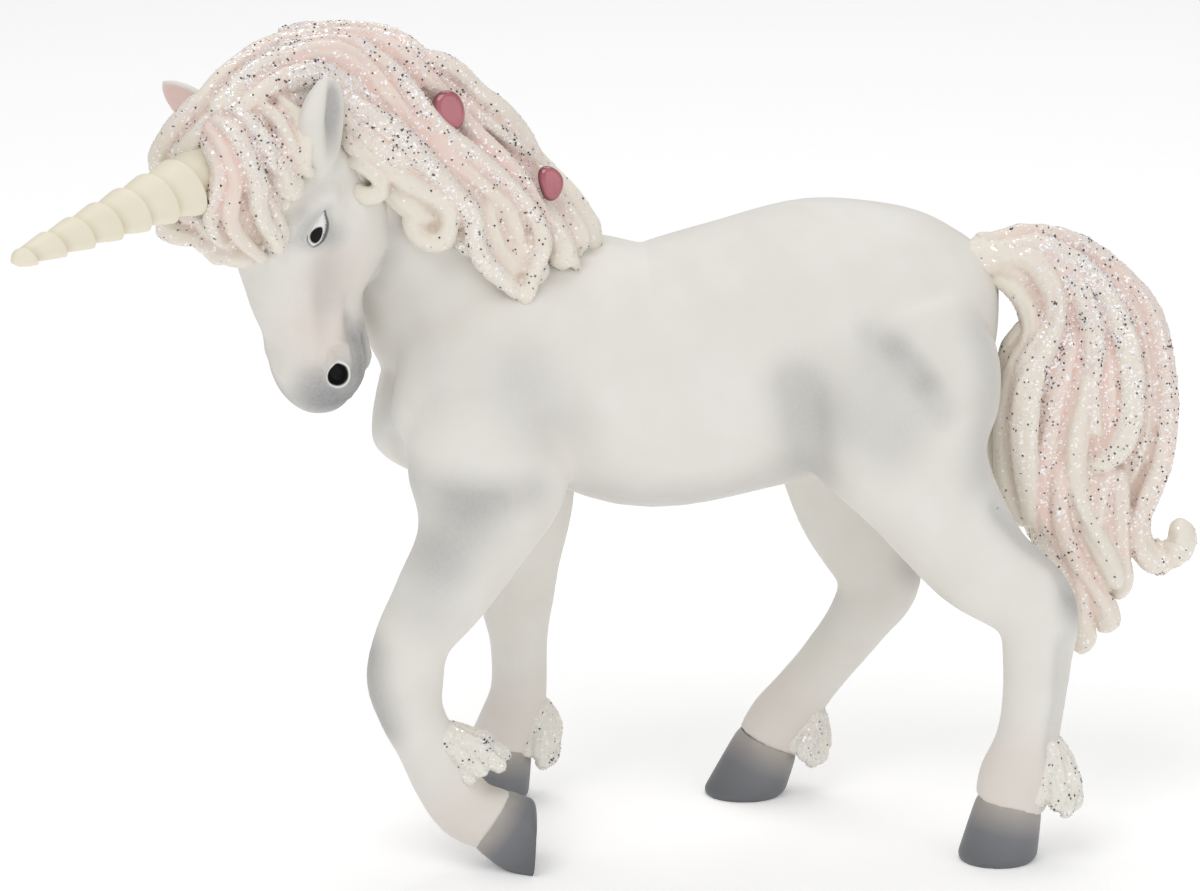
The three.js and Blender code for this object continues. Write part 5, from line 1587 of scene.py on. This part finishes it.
def scatter(name, piece, count, density):
    """Lays flakes over a piece of hair where the density of its faces asks for them."""
    faces = piece.data.polygons
    middles, ways = read(faces, "center") / MM, read(faces, "normal")
    areas, first = read(faces, "area", 1)[:, 0], read(faces, "loop_start", 1, int)[:, 0]
    corners = read(piece.data.loops, "vertex_index", 1, int)[:, 0]
    thick = clumps(middles)
    weight = areas * density[corners[first]] * np.clip(0.7 + 0.5 * thick, 0.25, 2)
    chosen = rng.choice(len(faces), count, p=weight / weight.sum())
    middles, ways, thick = middles[chosen], ways[chosen], thick[chosen]
    tilt = unit(ways + rng.normal(0, FLAKE_TILT, (count, 3)))
    x_way = unit(np.cross(tilt, unit(rng.normal(0, 1, (count, 3)))))
    y_way = np.cross(tilt, x_way)
    # Flakes painted near black, as shade on flakes that tilt away from the light, more of them in
    # clumps.
    darkness = DARK_SHARE + DARK_IN_CLUMPS * np.clip(thick - 0.3, 0, 1)
    dark = (rng.uniform(size=count) < darkness).astype(float)
    radius = FLAKE_RADIUS * rng.uniform(0.75, 1.2, count) * (1 + 0.1 * dark)
    stray = rng.uniform(-FLAKE_STRAY, FLAKE_STRAY, (count, 3))
    stray -= ways * np.sum(stray * ways, axis=1, keepdims=True)
    places = middles + ways * FLAKE_LIFT + stray
    axes = np.stack([x_way, y_way, tilt], axis=1) * radius[:, None, None]
    corners_at = np.einsum("pk,nkd->npd", flake_points, axes) + places[:, None]
    stride = len(flake_points)
    plates = [[v + stride * n for v in face] for n in range(count) for face in flake_faces]
    made = bpy.data.meshes.new(name)
    made.from_pydata((corners_at.reshape(-1, 3) * MM).tolist(), [], plates)
    glitter = bpy.data.objects.new(name, made)
    scene.collection.objects.link(glitter)
    rosy = np.clip(rng.normal(0.25, 0.25, count), 0, 1)
    # How far each silver flake is in painted shade.
    shade = rng.uniform(0.7, 1, count)
    store(glitter, "tint", *(np.repeat(channel, stride) for channel in (dark, rosy, shade)), 1)
    return glitter


def strand_values(piece):
    """The share along the strand and the glitter at each point of a piece of hair."""
    values = read(piece.data.attributes["strand"].data, "color", 4)
    return values[:, 0], values[:, 2]


glitter_pieces = {}
for name in strands:
    share, glitter = strand_values(pieces[name])
    if name in TUFTS:
        density = 0.05 + np.clip(share * 1.5 - 0.7, 0, 1) ** 2
    else:
        density = 0.02 + glitter**1.8 * np.clip(1.35 - share**2 * 1.25, 0.1, 1)
    count = GLITTER.get(name, TUFT_GLITTER)
    glitter_pieces[name] = scatter(name + "_glitter", pieces[name], count, density)
print("glitter pieces:", len(glitter_pieces))

# %% [markdown]
# All paints share one node group: a fine speckle, like the tooth of matt paint on plastic, which
# shifts the colour a little and feeds the bump. The group gives out only values, and each material
# keeps its own shader.

# %% Paint grain group
CLOUD_SCALE = 160


def new_group(name, takes, *gives):
    """A node group with one value in and some values out, and its two end nodes."""
    group = bpy.data.node_groups.new(name, "ShaderNodeTree")
    for socket, way in ((takes, "INPUT"), *((give, "OUTPUT") for give in gives)):
        group.interface.new_socket(name=socket, in_out=way, socket_type="NodeSocketFloat")
    return group, group.nodes.new("NodeGroupInput"), group.nodes.new("NodeGroupOutput")


def connect(group, *wires):
    """Links outputs to inputs, each wire as a node and socket, then a node and socket."""
    for source, output, target, socket in wires:
        group.links.new(source.outputs[output], target.inputs[socket])


grain, grain_in, grain_out = new_group("paint_grain", "Scale", "Speckle", "Cloud")
where_node = grain.nodes.new("ShaderNodeTexCoord")
speckle = grain.nodes.new("ShaderNodeTexNoise")
speckle.inputs["Detail"].default_value = 3
cloud = grain.nodes.new("ShaderNodeTexNoise")
cloud.inputs["Scale"].default_value = CLOUD_SCALE
cloud.inputs["Detail"].default_value = 2
connect(
    grain,
    (where_node, "Object", speckle, "Vector"), (where_node, "Object", cloud, "Vector"),
    (grain_in, "Scale", speckle, "Scale"), (speckle, "Fac", grain_out, "Speckle"),
    (cloud, "Fac", grain_out, "Cloud"))
print("group:", grain.name)

# %% [markdown]
# A small set of helpers keeps the materials readable: one starts a material with its shader and the
# grain group, one mixes two colours by a value, and one stretches a value between limits.

# %% Material helpers
BUMP_DISTANCE = 0.1 * MM


class Paint:
    """A material under construction."""

    def __init__(self, name, roughness, grain_scale=2600, bump=0.05):
        self.material = bpy.data.materials.new(name)
        self.material.use_nodes = True
        self.nodes = self.material.node_tree.nodes
        self.links = self.material.node_tree.links
        self.shader = self.nodes["Principled BSDF"]
        self.shader.inputs["Roughness"].default_value = roughness
        self.grain = self.group(grain)
        self.grain.inputs["Scale"].default_value = grain_scale
        relief = self.nodes.new("ShaderNodeBump")
        relief.inputs["Strength"].default_value = bump
        relief.inputs["Distance"].default_value = BUMP_DISTANCE
        self.links.new(self.grain.outputs["Speckle"], relief.inputs["Height"])
        self.feed("Normal", relief.outputs["Normal"])

    def group(self, tree):
        node = self.nodes.new("ShaderNodeGroup")
        node.node_tree = tree
        return node

    def feed(self, socket, value):
        """Links a value to a socket of the shader."""
        self.links.new(value, self.shader.inputs[socket])

    def mask(self, attribute):
        """The channels of a colour attribute: red, green, blue and alpha."""
        source = self.nodes.new("ShaderNodeAttribute")
        source.attribute_name = attribute
        split = self.nodes.new("ShaderNodeSeparateColor")
        self.links.new(source.outputs["Color"], split.inputs["Color"])
        return [*split.outputs, source.outputs["Alpha"]]

    def span(self, value, low, high, to_low=0.0, to_high=1.0):
        """A value stretched from one pair of limits to another."""
        node = self.nodes.new("ShaderNodeMapRange")
        limits = {"From Min": low, "From Max": high, "To Min": to_low, "To Max": to_high}
        for socket, number in limits.items():
            node.inputs[socket].default_value = number
        self.links.new(value, node.inputs["Value"])
        return node.outputs["Result"]

    def cloud(self, low, high, most=1.0):
        """The slow cloud of the grain, stretched between limits."""
        return self.span(self.grain.outputs["Cloud"], low, high, 0.0, most)

    def times(self, first, second):
        """The product of two values, or of a value and a number."""
        node = self.nodes.new("ShaderNodeMath")
        node.operation = "MULTIPLY"
        for socket, value in zip(node.inputs, (first, second)):
            if isinstance(value, (int, float)):
                socket.default_value = value
            else:
                self.links.new(value, socket)
        return node.outputs["Value"]

    def mix(self, share, first, second):
        """The first colour, passing over to the second by a share."""
        node = self.nodes.new("ShaderNodeMix")
        node.data_type = "RGBA"
        for socket, value in ((0, share), (6, first), (7, second)):
            if isinstance(value, tuple):
                node.inputs[socket].default_value = (*value, 1)
            else:
                self.links.new(value, node.inputs[socket])
        return node.outputs[2]


print("helpers ready")

# %% [markdown]
# The coat is a warm white. The mask lays the grey over it, partly spray and partly painted shade,
# then the blush, and last the brushed black and white of the eye and nostril. The black paint is
# glossier than the rest.

# %% Coat, ivory and hoof paint
WARM_WHITE, CREAM = (0.78, 0.76, 0.715), (0.745, 0.72, 0.665)
# The grey of the airbrush and of the painted shade.
SPRAY_AND_SHADE_GREY = (0.25, 0.252, 0.265)
BLUSH_PINK, EAR_PINK = (0.69, 0.595, 0.545), (0.82, 0.57, 0.52)
EYE_WHITE, EYE_BLACK = (0.88, 0.87, 0.85), (0.012, 0.011, 0.011)
HORN_LIGHT, HORN_DEEP = (0.83, 0.775, 0.63), (0.80, 0.745, 0.59)
# painted shade in the horn's groove
HORN_GROOVE_SHADE = (0.62, 0.52, 0.37)
CORONET_TONE, WALL_TONE = (0.44, 0.40, 0.36), (0.178, 0.182, 0.196)
SOLE_TONE, HOOF_CLOUD = (0.118, 0.122, 0.132), (0.18, 0.185, 0.195)

coat = Paint("coat_paint", 0.62)
spray_and_shade_mask, blush_mask, black_mask, white_mask = coat.mask("airbrush_and_shade")
tone = coat.mix(coat.cloud(0.3, 0.7), WARM_WHITE, CREAM)
blush_tone = coat.mix(coat.span(blush_mask, 0.9, 1.0), BLUSH_PINK, EAR_PINK)
tone = coat.mix(coat.times(blush_mask, 0.8), tone, blush_tone)
broken = coat.span(coat.grain.outputs["Speckle"], 0.2, 0.75, 0.8, 1.0)
# Grey of the spray and of the painted shade, broken by the grain.
tone = coat.mix(coat.times(spray_and_shade_mask, broken), tone, SPRAY_AND_SHADE_GREY)
tone = coat.mix(white_mask, tone, EYE_WHITE)
coat.feed("Base Color", coat.mix(black_mask, tone, EYE_BLACK))
coat.feed("Roughness", coat.span(black_mask, 0, 1, 0.62, 0.3))
coat.feed("Specular IOR Level", coat.span(black_mask, 0, 1, 0.5, 0.08))

ivory = Paint("ivory_paint", 0.5)
groove_mask = ivory.mask("relief")[0]
tone = ivory.mix(ivory.cloud(0.3, 0.7), HORN_LIGHT, HORN_DEEP)
# Painted shade: the horn goes darker in the groove after each turn.
ivory.feed("Base Color", ivory.mix(ivory.span(groove_mask, 0.55, 1.0, 0.0, 0.5), tone, HORN_GROOVE_SHADE))

hoof_paint = Paint("hoof_paint", 0.45)
down_mask = hoof_paint.mask("relief")[0]
tone = hoof_paint.mix(hoof_paint.span(down_mask, 0.0, 0.4), CORONET_TONE, WALL_TONE)
tone = hoof_paint.mix(hoof_paint.span(down_mask, 0.4, 0.9), tone, SOLE_TONE)
hoof_paint.feed("Base Color", hoof_paint.mix(hoof_paint.cloud(0.35, 0.75, 0.35), tone, HOOF_CLOUD))
print("paints:", [paint.material.name for paint in (coat, ivory, hoof_paint)])

# %% [markdown]
# Hair paint runs from pink at the roots to cream at the tips, and passes to a darker pink in the
# grooves as painted shade. A second group adds dust, tiny flakes too small to model: cells of a
# Voronoi texture, each a bright painted glint or a dark speck of painted shade, shown where the
# strand has glitter on it.

# %% Glitter dust group
DUST_SCALE = 4500
dust, dust_in, dust_out = new_group("glitter_dust", "Amount", "Mask", "Bright")
where_node = dust.nodes.new("ShaderNodeTexCoord")
cells = dust.nodes.new("ShaderNodeTexVoronoi")
cells.inputs["Scale"].default_value = DUST_SCALE
split = dust.nodes.new("ShaderNodeSeparateColor")
less = dust.nodes.new("ShaderNodeMath")
less.operation = "LESS_THAN"
connect(
    dust,
    (where_node, "Object", cells, "Vector"), (cells, "Color", split, "Color"),
    (split, "Red", less, 0), (dust_in, "Amount", less, 1), (less, "Value", dust_out, "Mask"),
    (split, "Green", dust_out, "Bright"))
print("group:", dust.name)

# %% Hair, feather, gem and glitter paint
HAIR_ROOT, HAIR_TIP = (0.79, 0.69, 0.62), (0.81, 0.765, 0.67)
# The groove colour of the hair is painted shade.
HAIR_PINK, HAIR_GROOVE_SHADE = (0.82, 0.615, 0.555), (0.73, 0.51, 0.44)
FEATHER_ROOT, FEATHER_TIP = (0.78, 0.755, 0.68), (0.80, 0.775, 0.70)
# The groove colour of the feathers is painted shade.
FEATHER_GROOVE_SHADE = (0.63, 0.57, 0.47)
# painted shade and painted glints of the glitter dust
DUST_SHADE, DUST_GLINT = (0.12, 0.11, 0.11), (0.93, 0.92, 0.93)
ROSE, ROSE_LIGHT, ROSE_RIM = (0.40, 0.10, 0.125), (0.46, 0.14, 0.17), (0.13, 0.03, 0.04)
SILVER, SILVER_ROSY = (0.93, 0.93, 0.94), (0.95, 0.84, 0.84)
# The dull silver and the near black are painted shade on flakes that face away from the light.
SILVER_SHADED, FLAKE_DARK = (0.82, 0.81, 0.82), (0.03, 0.028, 0.03)


def hair_paint(name, root, tip, dust_share, groove_shade):
    """Paint from root to tip, darker and pinker in the grooves as painted shade, with dust on top.
    """
    paint = Paint(name, 0.5, 1800, 0.08)
    share, rosy, glittered, groove = paint.mask("strand")
    base = paint.mix(paint.span(share, 0.35, 0.95), root, tip)
    pink = paint.times(rosy, paint.span(share, 0.5, 0.95, 0.85, 0.12))
    base = paint.mix(pink, base, HAIR_PINK)
    # Painted shade: the grooves pass to a darker colour, most of all near the roots.
    shadow = paint.times(paint.span(groove, 0.55, 1.0), paint.span(share, 0.3, 0.95, 0.6, 0.2))
    base = paint.mix(shadow, base, groove_shade)
    base = paint.mix(paint.span(groove, 0.45, 0.0, 0.0, 0.5), base, tip)
    sprinkle = paint.group(dust)
    fall = paint.span(share, 0.3, 1.0, dust_share, dust_share * 0.2)
    paint.links.new(paint.times(glittered, fall), sprinkle.inputs["Amount"])
    # Painted glints and shade: each dust cell is a bright glint or a dark speck.
    spark = paint.mix(paint.span(sprinkle.outputs["Bright"], 0.08, 0.12), DUST_SHADE, DUST_GLINT)
    dusted = sprinkle.outputs["Mask"]
    paint.feed("Base Color", paint.mix(dusted, base, spark))
    paint.feed("Metallic", paint.times(dusted, 0.35))
    paint.feed("Roughness", paint.span(dusted, 0, 1, 0.5, 0.28))
    return paint


hair = hair_paint("hair_paint", HAIR_ROOT, HAIR_TIP, 0.35, HAIR_GROOVE_SHADE)
feather = hair_paint("feather_paint", FEATHER_ROOT, FEATHER_TIP, 0.3, FEATHER_GROOVE_SHADE)

gem_paint = Paint("gem_gloss", 0.18, 1500, 0.02)
rose = gem_paint.mix(gem_paint.cloud(0.35, 0.7), ROSE, ROSE_LIGHT)
gem_paint.feed("Base Color", gem_paint.mix(gem_paint.mask("relief")[0], rose, ROSE_RIM))
gem_paint.shader.inputs["Coat Weight"].default_value = 0.6

flakes = Paint("glitter_flakes", 0.25, 2200, 0.03)
dark, rosy, shade, _ = flakes.mask("tint")
silver = flakes.mix(rosy, SILVER, SILVER_ROSY)
# Painted shade: duller silver on some flakes and near black on others.
silver = flakes.mix(flakes.span(shade, 0.7, 1.0), SILVER_SHADED, silver)
flakes.feed("Base Color", flakes.mix(dark, silver, FLAKE_DARK))
flakes.feed("Metallic", flakes.span(dark, 0, 1, 0.3, 0.0))
print("paints:", [paint.material.name for paint in (hair, feather, gem_paint, flakes)])

# %% [markdown]
# The floor is a plain pale sheet with a very faint cloud in its tone.

# %% Floor paint
FLOOR_GREY, FLOOR_PALE = (0.93, 0.93, 0.93), (0.95, 0.95, 0.95)
floor_paint = Paint("floor_paint", 0.9, 40, 0.0)
tone = floor_paint.mix(floor_paint.grain.outputs["Cloud"], FLOOR_GREY, FLOOR_PALE)
floor_paint.feed("Base Color", tone)
floor_paint.shader.inputs["Emission Color"].default_value = (1, 1, 1, 1)
floor_paint.shader.inputs["Emission Strength"].default_value = 0.2
floor.data.materials.append(floor_paint.material)
print("floor paint:", floor_paint.material.name)

# %% [markdown]
# Last, every piece takes its paint, stands in for its solid and rides on the one rigid body.

# %% Dress the solids
DRESS = {
    "coat": (coat, ["torso", "head", "ear_left", "ear_right", *LEGS]),
    "ivory": (ivory, ["horn"]),
    "hair": (hair, ["mane", "forelock", "tail"]),
    "feather": (feather, list(TUFTS)),
    "hoof": (hoof_paint, list(HOOF_SOLES)),
    "gem": (gem_paint, list(GEMS)),
}
for slot, (paint, names) in DRESS.items():
    for name in names:
        piece = pieces[name]
        piece.data.materials.clear()
        piece.data.materials.append(paint.material)
        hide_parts(name)
        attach(piece, "root")
        if name in glitter_pieces:
            glitter_pieces[name].data.materials.append(flakes.material)
            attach(glitter_pieces[name], "root")
print("dressed:", len(pieces), "pieces and", len(glitter_pieces), "of glitter")
